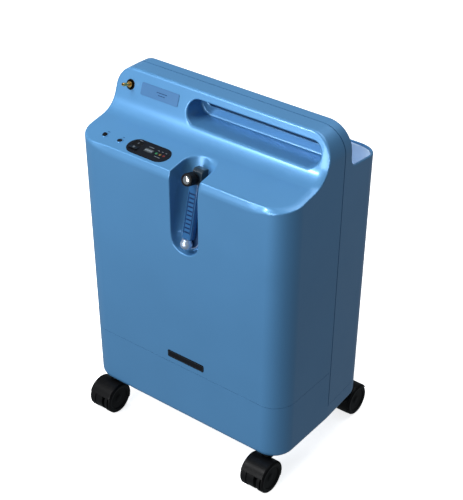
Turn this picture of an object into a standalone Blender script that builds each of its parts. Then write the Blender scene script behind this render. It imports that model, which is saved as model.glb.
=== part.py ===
"""Home oxygen concentrator on four swivel casters, as an assembly of separate pieces.

Units are metres, +Z up, +X to the right seen from the front, the front looks along -Y.
The origin is on the floor under the middle of the machine.
"""
import math

import bmesh
import bpy
from mathutils import Matrix, Vector

for old in list(bpy.data.objects):
    bpy.data.objects.remove(old, do_unlink=True)

# ---- driving dimensions (metres) -----------------------------------------------------------
HEIGHT = 0.580            # floor to the top of the head
BASE_W = 0.380            # housing at its lower edge
BASE_D = 0.240
BASE_Z = 0.064            # lower edge of the housing above the floor
DRAFT_X = 0.0145          # each side leans out by this much per metre of height
DRAFT_Y = 0.0070
FRONT_R = 0.037           # upright corner radii
REAR_R = 0.036
REAR_TAPER = 0.007        # each side closes by this much from the seam to the back
WALL = 0.003
GAP = 0.0005              # parting gap between housing shells
SLIP = 0.0003             # clearance between pieces that sit together
SEAM_Y = 0.012            # front and rear shells part here
PAN_REAR_Z = BASE_Z + 0.026   # top edge of the base pan behind the seam
PAN_FRONT_Z = BASE_Z + 0.094  # top edge of its front skirt

DECK_Z = HEIGHT - 0.078   # control deck, at the front face
DECK_RISE = 0.19          # rise of the deck per metre towards the back
FRONT_Y = -BASE_D / 2 - DRAFT_Y * (DECK_Z - BASE_Z)   # front face at the deck's edge
HEAD_FACE_Y = -0.0175     # head's front face, at HEAD_FACE_Z
HEAD_FACE_Z = HEIGHT - 0.005
HEAD_LEAN = 0.37          # the face leans back by this much per metre of height
HEAD_BACK_Y = 0.032
COVE_R = 0.040            # cove between deck and head
HEAD_R_LEFT = 0.030       # head's top corners
HEAD_R_RIGHT = 0.041

RIM_Z = HEIGHT - 0.066    # rear trough's rim beside the head
RIM_BACK_Z = HEIGHT - 0.079   # and at the back
RIM_COVE_R = 0.016
TROUGH_FLOOR_Z = HEIGHT - 0.150
TROUGH_WALL = 0.004

# controls, from the left side to the right
EDGE_L = -BASE_W / 2
OUTLET_AT = (EDGE_L + 0.021, HEIGHT - 0.024)      # X and Z on the head's face
LABEL = (0.072, 0.019)
LABEL_AT = (OUTLET_AT[0] + 0.022 + LABEL[0] / 2, HEIGHT - 0.0235)
RESET_AT = (EDGE_L + 0.035, -BASE_D / 2 + 0.0195)  # X and Y on the deck
LENS_AT = (RESET_AT[0] + 0.0295, RESET_AT[1])
PANEL = (0.078, 0.033)
PANEL_AT = (LENS_AT[0] + 0.0155 + PANEL[0] / 2, -BASE_D / 2 + 0.0215)

GRIP_X = (LABEL_AT[0] + LABEL[0] / 2 + 0.018, BASE_W / 2 - 0.010)  # grip slot in the head
GRIP_Z = (HEIGHT - 0.049, HEIGHT - 0.013)
GRIP_REAR_Z = HEIGHT - 0.033  # lower edge of the slot's rear half
GRIP_STEP_Y = SEAM_Y - 0.004
LINER = 0.0025            # wall around the slot and the meter recess

METER_R = 0.027           # meter recess
METER_X = PANEL_AT[0] + PANEL[0] / 2 + 0.018 + METER_R
METER_Z = HEIGHT - 0.208      # its lowest point
METER_BACK_Y = -BASE_D / 2 + 0.016    # its back wall at METER_BACK_Z
METER_BACK_Z = HEIGHT - 0.205
METER_LEAN = math.radians(14)

WHEEL_R = 0.026           # casters
CASTER_X = BASE_W / 2 - 0.033
CASTER_Y = BASE_D / 2 - 0.020     # swivel axis
TRAIL = 0.020             # wheel axis from the swivel axis
WHEEL_T = 0.012
CASTER_W = 0.044
HOOD_R = 0.0245
AXLE_R = 0.003
STEM_R = 0.004
RUN = 0.00008             # running clearance on radius

SEG = 32

# ---- collections and materials ---------------------------------------------------------------
PARTS = bpy.data.collections.new("oxygen_concentrator")
CUTTERS = bpy.data.collections.new("cutters")
for collection in (PARTS, CUTTERS):
    bpy.context.scene.collection.children.link(collection)


def material(name, colour, roughness=0.4, metallic=0.0, alpha=1.0):
    mat = bpy.data.materials.new(name)
    mat.use_nodes = True
    shader = mat.node_tree.nodes["Principled BSDF"]
    shader.inputs["Base Color"].default_value = (*colour, 1.0)
    shader.inputs["Roughness"].default_value = roughness
    shader.inputs["Metallic"].default_value = metallic
    shader.inputs["Alpha"].default_value = alpha
    return mat


BLUE = material("pearl_blue", (0.10, 0.25, 0.48), 0.34)
BLACK = material("black_plastic", (0.012, 0.012, 0.014), 0.42)
DARK = material("dark_panel", (0.02, 0.024, 0.028), 0.3)
RUBBER = material("tread_rubber", (0.015, 0.015, 0.016), 0.7)
GREY = material("grey_plastic", (0.16, 0.18, 0.20), 0.45)
PALE = material("pale_label", (0.33, 0.47, 0.66), 0.5)
BRASS = material("brass", (0.66, 0.43, 0.13), 0.28, 1.0)
CHROME = material("chrome", (0.80, 0.81, 0.83), 0.08, 1.0)
STEEL = material("steel", (0.52, 0.53, 0.55), 0.3, 1.0)
ALLOY = material("aluminium", (0.62, 0.63, 0.65), 0.35, 1.0)
CLEAR = material("clear_acrylic", (0.35, 0.55, 0.85), 0.06, 0.0, 0.35)
GREEN = material("green_lens", (0.05, 0.40, 0.12), 0.2)
AMBER = material("amber_lens", (0.60, 0.36, 0.03), 0.2)
RED = material("red_lens", (0.50, 0.03, 0.02), 0.2)
FOAM = material("filter_foam", (0.05, 0.05, 0.055), 0.95)
BOARD = material("board_green", (0.03, 0.16, 0.07), 0.5)
HOSE = material("hose", (0.55, 0.58, 0.60), 0.35)


# ---- modelling helpers -------------------------------------------------------------------------
def finish(name, mesh, mat=None, smooth=False):
    """Link a mesh as a part, or as a hidden cutter when it has no material."""
    obj = bpy.data.objects.new(name, mesh)
    if mat is None:
        CUTTERS.objects.link(obj)
        obj.hide_render = True
        obj.display_type = 'WIRE'
    else:
        PARTS.objects.link(obj)
        mesh.materials.clear()
        mesh.materials.append(mat)
    if smooth:
        mesh.shade_smooth()
        mesh.set_sharp_from_angle(angle=math.radians(35))
    return obj


def bm_object(name, bm, mat, smooth=False):
    mesh = bpy.data.meshes.new(name)
    bm.normal_update()
    bm.to_mesh(mesh)
    bm.free()
    return finish(name, mesh, mat, smooth)


def box(name, size, centre, mat=None, bevel=0.0, segments=2):
    bm = bmesh.new()
    place = Matrix.Translation(centre) @ Matrix.Diagonal((*size, 1.0))
    bmesh.ops.create_cube(bm, size=1.0, matrix=place)
    if bevel:
        bmesh.ops.bevel(bm, geom=bm.edges[:], offset=bevel, segments=segments, profile=0.5,
                        affect='EDGES')
    return bm_object(name, bm, mat)


TURN = {
    "x": Matrix.Rotation(math.radians(90), 4, 'Y'),
    "y": Matrix.Rotation(math.radians(-90), 4, 'X'),
    "z": Matrix.Identity(4),
}


def cylinder(name, radius, length, centre, axis="z", mat=None, top=None, segments=SEG):
    bm = bmesh.new()
    place = Matrix.Translation(centre) @ TURN[axis]
    bmesh.ops.create_cone(bm, cap_ends=True, segments=segments, radius1=radius,
                          radius2=radius if top is None else top, depth=length, matrix=place)
    return bm_object(name, bm, mat, smooth=True)


def turned(name, profile, mat, place=Matrix.Identity(4), steps=SEG):
    """Screw a profile of (radius, height) points about its own Z, outer side top to bottom."""
    bm = bmesh.new()
    points = [bm.verts.new((r, 0.0, z)) for r, z in profile]
    closed = profile[0][0] > 0.0
    pairs = list(zip(points, points[1:])) + ([(points[-1], points[0])] if closed else [])
    for first, second in pairs:
        bm.edges.new((first, second))
    mesh = bpy.data.meshes.new(name)
    bm.to_mesh(mesh)
    bm.free()
    obj = finish(name, mesh, mat)
    screw = obj.modifiers.new("turn", 'SCREW')
    screw.steps = screw.render_steps = steps
    screw.use_merge_vertices = True
    screw.merge_threshold = 0.00002
    screw.use_smooth_shade = True
    obj.matrix_world = place
    return obj


def outlined(name, outline, depth, place, mat=None):
    """Extrude a flat outline, drawn in its own XY, by depth, half to each side."""
    curve = bpy.data.curves.new(name, 'CURVE')
    curve.dimensions = '2D'
    curve.fill_mode = 'BOTH'
    curve.extrude = depth / 2
    spline = curve.splines.new('POLY')
    spline.points.add(len(outline) - 1)
    for point, (u, v) in zip(spline.points, outline):
        point.co = (u, v, 0.0, 1.0)
    spline.use_cyclic_u = True
    return from_curve(name, curve, place, mat)


def from_curve(name, curve, place, mat=None):
    source = bpy.data.objects.new(name + "_curve", curve)
    PARTS.objects.link(source)
    bpy.context.view_layer.update()
    graph = bpy.context.evaluated_depsgraph_get()
    mesh = bpy.data.meshes.new_from_object(source.evaluated_get(graph))
    bpy.data.objects.remove(source, do_unlink=True)
    bm = bmesh.new()
    bm.from_mesh(mesh)
    bmesh.ops.remove_doubles(bm, verts=bm.verts[:], dist=0.00001)
    bmesh.ops.recalc_face_normals(bm, faces=bm.faces[:])
    bm.to_mesh(mesh)
    bm.free()
    mesh.transform(place)
    return finish(name, mesh, mat)


def tube(name, points, radius, mat, sides=2):
    """A round tube along a list of points, with closed ends."""
    curve = bpy.data.curves.new(name, 'CURVE')
    curve.dimensions = '3D'
    curve.bevel_depth = radius
    curve.bevel_resolution = sides
    curve.use_fill_caps = True
    spline = curve.splines.new('POLY')
    spline.points.add(len(points) - 1)
    for point, co in zip(spline.points, points):
        point.co = (*co, 1.0)
    return from_curve(name, curve, Matrix.Identity(4), mat)


def boolean(obj, tool, operation='DIFFERENCE', solver='EXACT'):
    step = obj.modifiers.new(operation.lower() + "_" + tool.name, 'BOOLEAN')
    step.operation = operation
    step.solver = solver
    step.object = tool
    return obj


# places that map an outline's (u, v) to the side view (Y, Z) or the front view (X, Z)
SIDE_VIEW = Matrix(((0, 0, 1, 0), (1, 0, 0, 0), (0, 1, 0, 0), (0, 0, 0, 1)))
FRONT_VIEW = Matrix(((1, 0, 0, 0), (0, 0, -1, 0), (0, 1, 0, 0), (0, 0, 0, 1)))


def arc(centre, radius, start, end, steps):
    return [(centre[0] + radius * math.cos(math.radians(start + (end - start) * i / steps)),
             centre[1] + radius * math.sin(math.radians(start + (end - start) * i / steps)))
            for i in range(steps + 1)]


def round_corner(before, corner, after, radius, steps):
    """Points of the arc that rounds the corner of a polyline."""
    a, c, b = Vector(before), Vector(corner), Vector(after)
    da, db = (a - c).normalized(), (b - c).normalized()
    half = da.angle(db) / 2
    reach = radius / math.tan(half)
    centre = c + (da + db).normalized() * (radius / math.sin(half))
    first, last = c + da * reach, c + db * reach
    start, swing = first - centre, (first - centre).angle(last - centre)
    turn = 1.0 if start.cross(last - centre) > 0 else -1.0
    points = []
    for i in range(steps + 1):
        angle = turn * swing * i / steps
        spin = Matrix.Rotation(angle, 2)
        points.append(tuple(centre + spin @ start))
    return points


def stadium(width, height, steps=8):
    r = height / 2
    reach = width / 2 - r
    return arc((reach, 0), r, -90, 90, steps) + arc((-reach, 0), r, 90, 270, steps)


def rounded_rect(width, height, radius, steps=4):
    x, y = width / 2 - radius, height / 2 - radius
    return (arc((x, -y), radius, -90, 0, steps) + arc((x, y), radius, 0, 90, steps)
            + arc((-x, y), radius, 90, 180, steps) + arc((-x, -y), radius, 180, 270, steps))


# ---- housing form -----------------------------------------------------------------------------
def half_width(z):
    return BASE_W / 2 + DRAFT_X * (z - BASE_Z)


def half_depth(z):
    return BASE_D / 2 + DRAFT_Y * (z - BASE_Z)


def block(name, z_low, z_high, inset=0.0, foot=0.0, mat=None):
    """The housing's drafted block with rounded upright corners and a rounded lower edge."""
    bm = bmesh.new()
    bmesh.ops.create_cube(bm, size=2.0)
    bmesh.ops.bisect_plane(bm, geom=bm.verts[:] + bm.edges[:] + bm.faces[:], plane_co=(0, 0, 0),
                           plane_no=(0, 1, 0))
    for vert in bm.verts:
        z = z_high if vert.co.z > 0 else z_low
        end = round(vert.co.y)
        x = half_width(z) - inset - (REAR_TAPER if end > 0 else 0.0)
        y = SEAM_Y if end == 0 else end * (half_depth(z) - inset)
        vert.co = (math.copysign(x, vert.co.x), y, z)
    for sign, radius in ((-1, FRONT_R), (1, REAR_R)):
        upright = [e for e in bm.edges if abs(e.verts[0].co.z - e.verts[1].co.z) > 0.01
                   and (e.verts[0].co.y - SEAM_Y) * sign > 0.01
                   and abs(e.verts[0].co.x) > half_width(z_low) - 0.030]
        bmesh.ops.bevel(bm, geom=upright, offset=radius - inset, segments=7, profile=0.5,
                        affect='EDGES')
    if foot:
        low = [e for e in bm.edges if max(v.co.z for v in e.verts) < z_low + 0.0001
               and len(e.link_faces) == 2
               and any(f.calc_center_median().z > z_low + 0.001 for f in e.link_faces)]
        bmesh.ops.bevel(bm, geom=low, offset=foot, segments=3, profile=0.5, affect='EDGES')
    return bm_object(name, bm, mat)


def deck_z(y):
    return DECK_Z + DECK_RISE * (y - FRONT_Y)


def face_y(z):
    return HEAD_FACE_Y + HEAD_LEAN * (z - HEAD_FACE_Z)


# where deck and head face would meet without the cove
_meet_y = (HEAD_FACE_Y + HEAD_LEAN * (DECK_Z - DECK_RISE * FRONT_Y - HEAD_FACE_Z)) \
    / (1 - HEAD_LEAN * DECK_RISE)
MEET = (_meet_y, deck_z(_meet_y))


def front_profile(inset, low_z, y_seam):
    """Side view of deck, cove and head face, moved inwards by inset."""
    drop = inset * math.hypot(1, DECK_RISE)
    back = inset * math.hypot(1, HEAD_LEAN)
    meet_y = MEET[0] + (back - HEAD_LEAN * drop) / (1 - HEAD_LEAN * DECK_RISE)
    meet = (meet_y, deck_z(meet_y) - drop)
    start = (-0.150, deck_z(-0.150) - drop)
    end_z = HEIGHT + 0.020
    end = (face_y(end_z) + back, end_z)
    cove = round_corner(start, meet, end, COVE_R + inset, 9)
    return [(-0.150, low_z), (y_seam, low_z), (y_seam, end_z), end] + cove[::-1] + [start]


def rear_profile(inset, low_z, y_seam):
    """Side view of the head's back and of the trough's rim."""
    end_z = HEIGHT + 0.020
    back = (HEAD_BACK_Y - inset, end_z)
    foot = (HEAD_BACK_Y - inset, RIM_Z - inset)
    slope = (RIM_BACK_Z - RIM_Z) / (half_depth(RIM_BACK_Z) - HEAD_BACK_Y)
    far = (0.150, RIM_Z - inset + slope * (0.150 - HEAD_BACK_Y))
    cove = round_corner(back, foot, far, RIM_COVE_R + inset, 6)
    return [(y_seam, low_z), (0.150, low_z), far] + cove[::-1] + [back, (y_seam, end_z)]


def head_outline(inset):
    """Front view that rounds the head's two top corners; wide open below them."""
    hw, top, wide = half_width(HEIGHT) - inset, HEIGHT - inset, 0.240
    right, left = HEAD_R_RIGHT - inset, HEAD_R_LEFT - inset
    nudge = 0.0004        # the arcs cross the drafted sides instead of grazing them
    r_arc = arc((hw - right + nudge, top - right), right, -4, 90, 10)
    l_arc = arc((-hw + left - nudge, top - left), left, 90, 184, 8)
    return ([(-wide, 0.050), (wide, 0.050), (wide, r_arc[0][1])] + r_arc + l_arc
            + [(-wide, l_arc[-1][1])])


def shell_solid(name, profile, inset, low_z, mat=None):
    solid = block(name, low_z, HEIGHT + 0.010, inset, 0.0, mat)
    boolean(solid, outlined(name + "_profile", profile, 0.5, SIDE_VIEW), 'INTERSECT')
    boolean(solid, outlined(name + "_head", head_outline(inset), 0.4, FRONT_VIEW), 'INTERSECT')
    return solid


def through_y(name, outline, x, z, y_from, y_to, mat=None):
    """A front view outline extruded along Y between two depths."""
    place = Matrix.Translation((x, (y_from + y_to) / 2, z)) @ FRONT_VIEW
    return outlined(name, outline, y_to - y_from, place, mat)


# ---- front shell ---------------------------------------------------------------------------------
FRONT_SEAM = SEAM_Y - GAP / 2
REAR_SEAM = SEAM_Y + GAP / 2
LOW = -0.020              # cutting profiles start this far under the block
low_front = PAN_FRONT_Z + GAP
front_shell = shell_solid("front_shell", front_profile(0.0, low_front + LOW, FRONT_SEAM), 0.0,
                          low_front, BLUE)
front_hollow = shell_solid("front_hollow", front_profile(WALL, low_front + 2 * LOW, SEAM_Y + 0.02),
                           WALL, low_front + LOW)
boolean(front_shell, front_hollow)

grip_x = sum(GRIP_X) / 2
grip_z = sum(GRIP_Z) / 2
grip_w = GRIP_X[1] - GRIP_X[0]
grip_h = GRIP_Z[1] - GRIP_Z[0]
rear_grip_h = grip_h - (GRIP_REAR_Z - GRIP_Z[0]) - 0.0015
rear_grip_z = GRIP_REAR_Z + rear_grip_h / 2
rear_grip_w = grip_w - 0.020


def meter_recess(name, grow):
    """The leaning channel of the flow meter: a round back in plan and a round lower end."""
    r = METER_R + grow
    plan = [(u, v - r) for u, v in arc((0, 0), r, 0, 180, 12)] + [(-r, -0.12), (r, -0.12)]
    lean = Matrix.Rotation(-METER_LEAN, 4, 'X')
    origin = Matrix.Translation((METER_X, METER_BACK_Y + grow, METER_BACK_Z))
    channel = outlined(name, plan, 0.5, origin @ lean)
    front = arc((0, 0), r, 180, 360, 12) + [(r, 0.20), (-r, 0.20)]
    boolean(channel, through_y(name + "_front", front, METER_X, METER_Z + METER_R, -0.30, 0.10),
            'INTERSECT')
    return channel


def mid_skin(name):
    """The front shell's form at half its wall, to trim the liners with."""
    return shell_solid(name, front_profile(WALL / 2, low_front, FRONT_SEAM), WALL / 2,
                       low_front - LOW)


grip_liner = through_y("grip_liner", stadium(grip_w + 2 * LINER, grip_h + 2 * LINER), grip_x, grip_z,
                       -0.060, SEAM_Y + 0.010)
meter_liner = meter_recess("meter_liner", LINER)
for liner in (grip_liner, meter_liner):
    boolean(liner, mid_skin(liner.name + "_trim"), 'INTERSECT')
    boolean(front_shell, liner, 'UNION')
boolean(front_shell, through_y("grip_front", stadium(grip_w, grip_h), grip_x, grip_z,
                               -0.080, GRIP_STEP_Y))
boolean(front_shell, through_y("grip_middle", rounded_rect(rear_grip_w, rear_grip_h, 0.009),
                               grip_x, rear_grip_z, 0.0, 0.050))
boolean(front_shell, meter_recess("meter_room", 0.0))

# ---- rear shell ----------------------------------------------------------------------------------
low_rear = PAN_REAR_Z + GAP
rear_shell = shell_solid("rear_shell", rear_profile(0.0, low_rear + LOW, REAR_SEAM), 0.0,
                         low_rear, BLUE)
rear_hollow = shell_solid("rear_hollow", rear_profile(WALL, low_rear + 2 * LOW, SEAM_Y - 0.02),
                          WALL, low_rear + LOW)
boolean(rear_hollow, box("trough_walls", (0.6, 0.3, 0.3),
                         (0, 0.15 + HEAD_BACK_Y - 0.002, TROUGH_FLOOR_Z - WALL + 0.15)))
boolean(rear_shell, rear_hollow)
TROUGH_SHAVE = 0.0008     # the trough's front wall lies this far inside the head's back
trough_top = RIM_Z + RIM_COVE_R + 0.004
trough_y = HEAD_BACK_Y - TROUGH_SHAVE
trough = block("trough", TROUGH_FLOOR_Z, trough_top, TROUGH_WALL)
boolean(trough, box("trough_side", (0.6, 0.2, 0.4), (0, trough_y + 0.1, 0.5)), 'INTERSECT')
boolean(rear_shell, trough)
boolean(rear_shell, through_y("rear_collar",
                              rounded_rect(rear_grip_w + 2 * LINER, rear_grip_h + 2 * LINER, 0.0115),
                              grip_x, rear_grip_z, REAR_SEAM, HEAD_BACK_Y - 0.001), 'UNION')
boolean(rear_shell, through_y("rear_grip", rounded_rect(rear_grip_w, rear_grip_h, 0.009),
                              grip_x, rear_grip_z, 0.0, 0.050))

# ---- base pan --------------------------------------------------------------------------------------
FOOT_R = 0.010
BOSS_TOP = BASE_Z + 0.024
STEM_TOP = BASE_Z + 0.018
pan_side = [(-0.15, 0.03), (0.15, 0.03), (0.15, PAN_REAR_Z), (FRONT_SEAM, PAN_REAR_Z),
            (FRONT_SEAM, PAN_FRONT_Z), (-0.15, PAN_FRONT_Z)]
base_pan = block("base_pan", BASE_Z, PAN_FRONT_Z + 0.02, 0.0, FOOT_R, BLUE)
boolean(base_pan, outlined("pan_profile", pan_side, 0.5, SIDE_VIEW), 'INTERSECT')
boolean(base_pan, block("pan_hollow", BASE_Z + WALL, PAN_FRONT_Z + 0.04, WALL, FOOT_R - WALL))
CORNERS = {"fl": (-1, -1), "fr": (1, -1), "rl": (-1, 1), "rr": (1, 1)}
for tag, (sx, sy) in CORNERS.items():
    x, y = sx * CASTER_X, sy * CASTER_Y
    boss_h = BOSS_TOP - BASE_Z - 0.001
    boolean(base_pan, cylinder("boss_" + tag, 0.0105, boss_h, (x, y, BOSS_TOP - boss_h / 2)), 'UNION')
    socket_h = STEM_TOP + 0.0006 - BASE_Z + 0.005
    boolean(base_pan, cylinder("socket_" + tag, STEM_R + RUN, socket_h,
                               (x, y, STEM_TOP + 0.0006 - socket_h / 2)))

# ---- casters ----------------------------------------------------------------------------------------
HALF_DRUM = CASTER_W / 2 - WHEEL_T - 0.0006
wheel_profile = [
    (AXLE_R + RUN, CASTER_W / 2 - 0.0030), (0.0085, CASTER_W / 2 - 0.0030),
    (0.0105, CASTER_W / 2 - 0.0052), (0.0185, CASTER_W / 2 - 0.0052),
    (0.0205, CASTER_W / 2 - 0.0016), (WHEEL_R - 0.0030, CASTER_W / 2),
    (WHEEL_R - 0.0006, CASTER_W / 2 - 0.0020), (WHEEL_R, CASTER_W / 2 - 0.0050),
    (WHEEL_R, HALF_DRUM + 0.0026), (WHEEL_R - 0.0014, HALF_DRUM + 0.0006),
    (AXLE_R + RUN, HALF_DRUM + 0.0006),
]
for tag, (sx, sy) in CORNERS.items():
    swivel = Vector((sx * CASTER_X, sy * CASTER_Y, 0.0))
    axle_at = swivel + Vector((0.0, sy * TRAIL, WHEEL_R))

    # hood: a drum between the wheels, with an arm up to the swivel stem
    hood = cylinder("caster_hood_" + tag, HOOD_R, 2 * HALF_DRUM, axle_at, "x", BLACK)
    top_z = BASE_Z - 0.0008
    arm = [(-0.0085, top_z), (0.0085, top_z), (0.0095, top_z - 0.0040), (0.0260, WHEEL_R + 0.0215),
           (0.0260, WHEEL_R), (-0.0020, WHEEL_R)]
    arm_place = Matrix.Translation((swivel.x, swivel.y, 0)) @ Matrix.Diagonal((1, sy, 1, 1))
    boolean(hood, outlined("arm_" + tag, [(u, v) for u, v in arm][::sy], 2 * HALF_DRUM - 0.0010,
                           arm_place @ SIDE_VIEW), 'UNION')
    stem_low = BASE_Z - 0.0060
    boolean(hood, cylinder("stem_" + tag, STEM_R, STEM_TOP - stem_low,
                           (swivel.x, swivel.y, (STEM_TOP + stem_low) / 2)), 'UNION')
    boolean(hood, box("hood_cut_" + tag, (0.05, 0.08, 0.02), (swivel.x, axle_at.y, 0.0045 - 0.010)))
    boolean(hood, cylinder("hood_bore_" + tag, AXLE_R + RUN, 0.06, axle_at, "x"))
    hood.data.transform(Matrix.Translation(-swivel))
    hood.location = swivel

    axle = cylinder("caster_axle_" + tag, AXLE_R, CASTER_W - 0.0070, (0, 0, 0), "x", STEEL,
                    segments=24)
    axle.location = axle_at
    for side, sign in (("l", -1), ("r", 1)):
        turn = Matrix.Rotation(math.radians(90 * sign), 4, 'Y')
        turned(f"caster_wheel_{tag}_{side}", wheel_profile, RUBBER,
               Matrix.Translation(axle_at) @ turn, 24)

# ---- front fittings ----------------------------------------------------------------------------------
DECK_TILT = math.atan(DECK_RISE)
FACE_TILT = math.atan(HEAD_LEAN)


def on_deck(x, y):
    """Frame on the deck: its Z is the deck's outward normal."""
    return Matrix.Translation((x, y, deck_z(y))) @ Matrix.Rotation(DECK_TILT, 4, 'X')


def on_face(x, z):
    """Frame on the head's front face: its Z is the face's outward normal."""
    return (Matrix.Translation((x, face_y(z), z))
            @ Matrix.Rotation(math.radians(90) - FACE_TILT, 4, 'X'))


def lift(z):
    return Matrix.Translation((0, 0, z))


def cut_front(name, outline, frame, depth=0.030):
    """Cut an outline through the front shell; the exact solver drops a face of the grip here."""
    boolean(front_shell, outlined(name, outline, depth, frame), solver='MANIFOLD')


panel_frame = on_deck(*PANEL_AT)
PANEL_T = 0.0042
panel_mid = 0.0006 - PANEL_T / 2
cut_front("panel_hole", stadium(PANEL[0], PANEL[1], 10), panel_frame)
control_panel = outlined("control_panel", stadium(PANEL[0] - 2 * SLIP, PANEL[1] - 2 * SLIP, 10),
                         PANEL_T, panel_frame @ lift(panel_mid), DARK)
ROCKER = (0.0150, 0.0190)
ROCKER_U = -0.0240
METER_WINDOW = (0.0160, 0.0080)
WINDOW_U = 0.0000
LAMP_R = 0.0021
LAMPS = (("green", GREEN, 0.0145), ("amber", AMBER, 0.0215), ("red", RED, 0.0285))


def at_panel(u, w=0.0):
    return panel_frame @ Matrix.Translation((u, 0, w))


boolean(control_panel, outlined("rocker_hole", rounded_rect(ROCKER[0] + 2 * SLIP, ROCKER[1] + 0.0012,
                                                            0.0004, 1), 0.020, at_panel(ROCKER_U)))
boolean(control_panel, outlined("window_hole", rounded_rect(*METER_WINDOW, 0.0010, 2), 0.020,
                                at_panel(WINDOW_U)))
for lamp, _, u in LAMPS:
    boolean(control_panel, outlined(lamp + "_hole", arc((0, 0), LAMP_R + SLIP, 0, 345, 23), 0.020,
                                    at_panel(u)))
outlined("hour_meter", rounded_rect(METER_WINDOW[0] - 2 * SLIP, METER_WINDOW[1] - 2 * SLIP,
                                    0.0008, 2), 0.0034, at_panel(WINDOW_U, -0.0016), GREY)
for lamp, lens, u in LAMPS:
    outlined("lamp_" + lamp, arc((0, 0), LAMP_R, 0, 345, 23), 0.0036, at_panel(u, -0.0012), lens)

# power rocker: pivots about the panel's X, resting with its rear half pressed
ROCK = math.radians(7)
rocker_side = [(-ROCKER[1] / 2, 0.0012), (0.0, -0.0002), (ROCKER[1] / 2, 0.0012),
               (ROCKER[1] / 2 - 0.0006, -0.0030), (0.0, -0.0070), (-ROCKER[1] / 2 + 0.0006, -0.0030)]
rocker_frame = at_panel(ROCKER_U, 0.0006)
power_rocker = outlined("power_rocker", rocker_side[::-1], ROCKER[0], SIDE_VIEW, BLACK)
power_rocker.matrix_world = rocker_frame @ Matrix.Rotation(-ROCK, 4, 'X')

# two small round controls left of the panel
BUTTON_R = 0.0038
for name, place in (("reset_hole", RESET_AT), ("lens_hole", LENS_AT)):
    cut_front(name, arc((0, 0), BUTTON_R + SLIP, 0, 345, 23), on_deck(*place))
reset_button = turned("reset_button", [(0.0, 0.0022), (BUTTON_R - 0.0008, 0.0022),
                                       (BUTTON_R, 0.0014), (BUTTON_R, -0.0060), (0.0, -0.0060)],
                      BLACK, on_deck(*RESET_AT), 24)
turned("indicator_lens", [(0.0, 0.0012), (BUTTON_R - 0.0010, 0.0009), (BUTTON_R, 0.0),
                          (BUTTON_R, -0.0040), (0.0, -0.0040)], DARK, on_deck(*LENS_AT), 24)

# label on the head's face and plate low on the front
outlined("label_plate", rounded_rect(*LABEL, 0.002), 0.0005, on_face(*LABEL_AT) @ lift(0.00058), PALE)
BADGE = (0.071, 0.0125)
BADGE_AT = (0.0100, PAN_FRONT_Z + 0.0165)
badge_frame = (Matrix.Translation((BADGE_AT[0], -half_depth(BADGE_AT[1]), BADGE_AT[1]))
               @ Matrix.Rotation(math.radians(90) + math.atan(DRAFT_Y), 4, 'X'))
cut_front("badge_seat", rounded_rect(BADGE[0] + 2 * SLIP, BADGE[1] + 2 * SLIP, 0.0028),
          badge_frame, 0.0030)
outlined("badge_plate", rounded_rect(*BADGE, 0.0025), 0.0016, badge_frame @ lift(-0.0003), DARK)

# oxygen outlet: a round dish with a barbed spigot
CUP_R = 0.0080
CUP_DEPTH = 0.0100
outlet_frame = on_face(*OUTLET_AT)
cut_front("cup_hole", arc((0, 0), CUP_R + SLIP, 0, 348.75, 31), outlet_frame, 0.020)
turned("outlet_cup", [(CUP_R - 0.0010, 0.0004), (CUP_R, 0.0004), (CUP_R, -CUP_DEPTH - 0.0012),
                      (0.0036, -CUP_DEPTH - 0.0012), (0.0036, -CUP_DEPTH),
                      (CUP_R - 0.0010, -CUP_DEPTH)], BLACK, outlet_frame, 32)
BARB_OUT = 0.0190
barb = [(0.0012, BARB_OUT), (0.0022, BARB_OUT)]
for step in range(3):
    top = BARB_OUT - 0.0008 - step * 0.0034
    barb += [(0.0029, top - 0.0022), (0.0023, top - 0.0026)]
BARB_IN = CUP_DEPTH + 0.0060
barb += [(0.0023, 0.0030), (0.0048, 0.0026), (0.0048, -0.0020), (0.0033, -0.0026),
         (0.0033, -BARB_IN), (0.0012, -BARB_IN)]
turned("outlet_barb", barb, BRASS, outlet_frame, 16)

# ---- flow meter ---------------------------------------------------------------------------------------
# its own frame leans back with the recess: Z up the tube, -Y out to the front
METER_STAND = 0.0128      # tube's middle from the recess's back wall
meter_z = METER_BACK_Z + 0.020
meter_y = METER_BACK_Y + (meter_z - METER_BACK_Z) * math.tan(METER_LEAN) - METER_STAND
meter_frame = Matrix.Translation((METER_X, meter_y, meter_z)) @ Matrix.Rotation(-METER_LEAN, 4, 'X')


def in_meter(x, y, z):
    return meter_frame @ Matrix.Translation((x, y, z))


def meter_block_solid(name, size, centre, mat, bevel=0.0):
    obj = box(name, size, centre, mat, bevel)
    obj.data.transform(meter_frame)
    return obj


TUBE = (0.0165, 0.0125, 0.0800)
TUBE_BORE = 0.0042
FLOAT_R = 0.0040
KNOB_W = 0.0955           # the knob's height up the meter
meter_block_solid("meter_backplate", (0.0240, 0.0012, TUBE[2] - SLIP),
                  (0, 0.0062, (TUBE[2] + SLIP) / 2), BLUE)
meter_tube = meter_block_solid("meter_tube", TUBE, (0, -0.0010, TUBE[2] / 2), CLEAR, 0.0010)
bore = cylinder("tube_bore", TUBE_BORE, 0.10, (0, -0.0010, 0.04), segments=24)
bore.data.transform(meter_frame)
boolean(meter_tube, bore)
meter_head = meter_block_solid("meter_head", (0.0260, 0.0150, 0.0300),
                               (0, -0.0015, TUBE[2] + SLIP + 0.0150), GREY, 0.0012)
stem_bore = cylinder("stem_bore", 0.0026, 0.03, (0, -0.012, KNOB_W), "y", segments=24)
stem_bore.data.transform(meter_frame)
boolean(meter_head, stem_bore)
turned("meter_foot", [(0.0, -SLIP), (0.0070, -SLIP), (0.0076, -0.0016), (0.0082, -0.0040),
                      (0.0086, -0.0080), (0.0078, -0.0120), (0.0056, -0.0150), (0.0, -0.0158)],
       CHROME, in_meter(0, -0.0020, 0), 32)
float_ball = bpy.data.meshes.new("meter_float")
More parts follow.
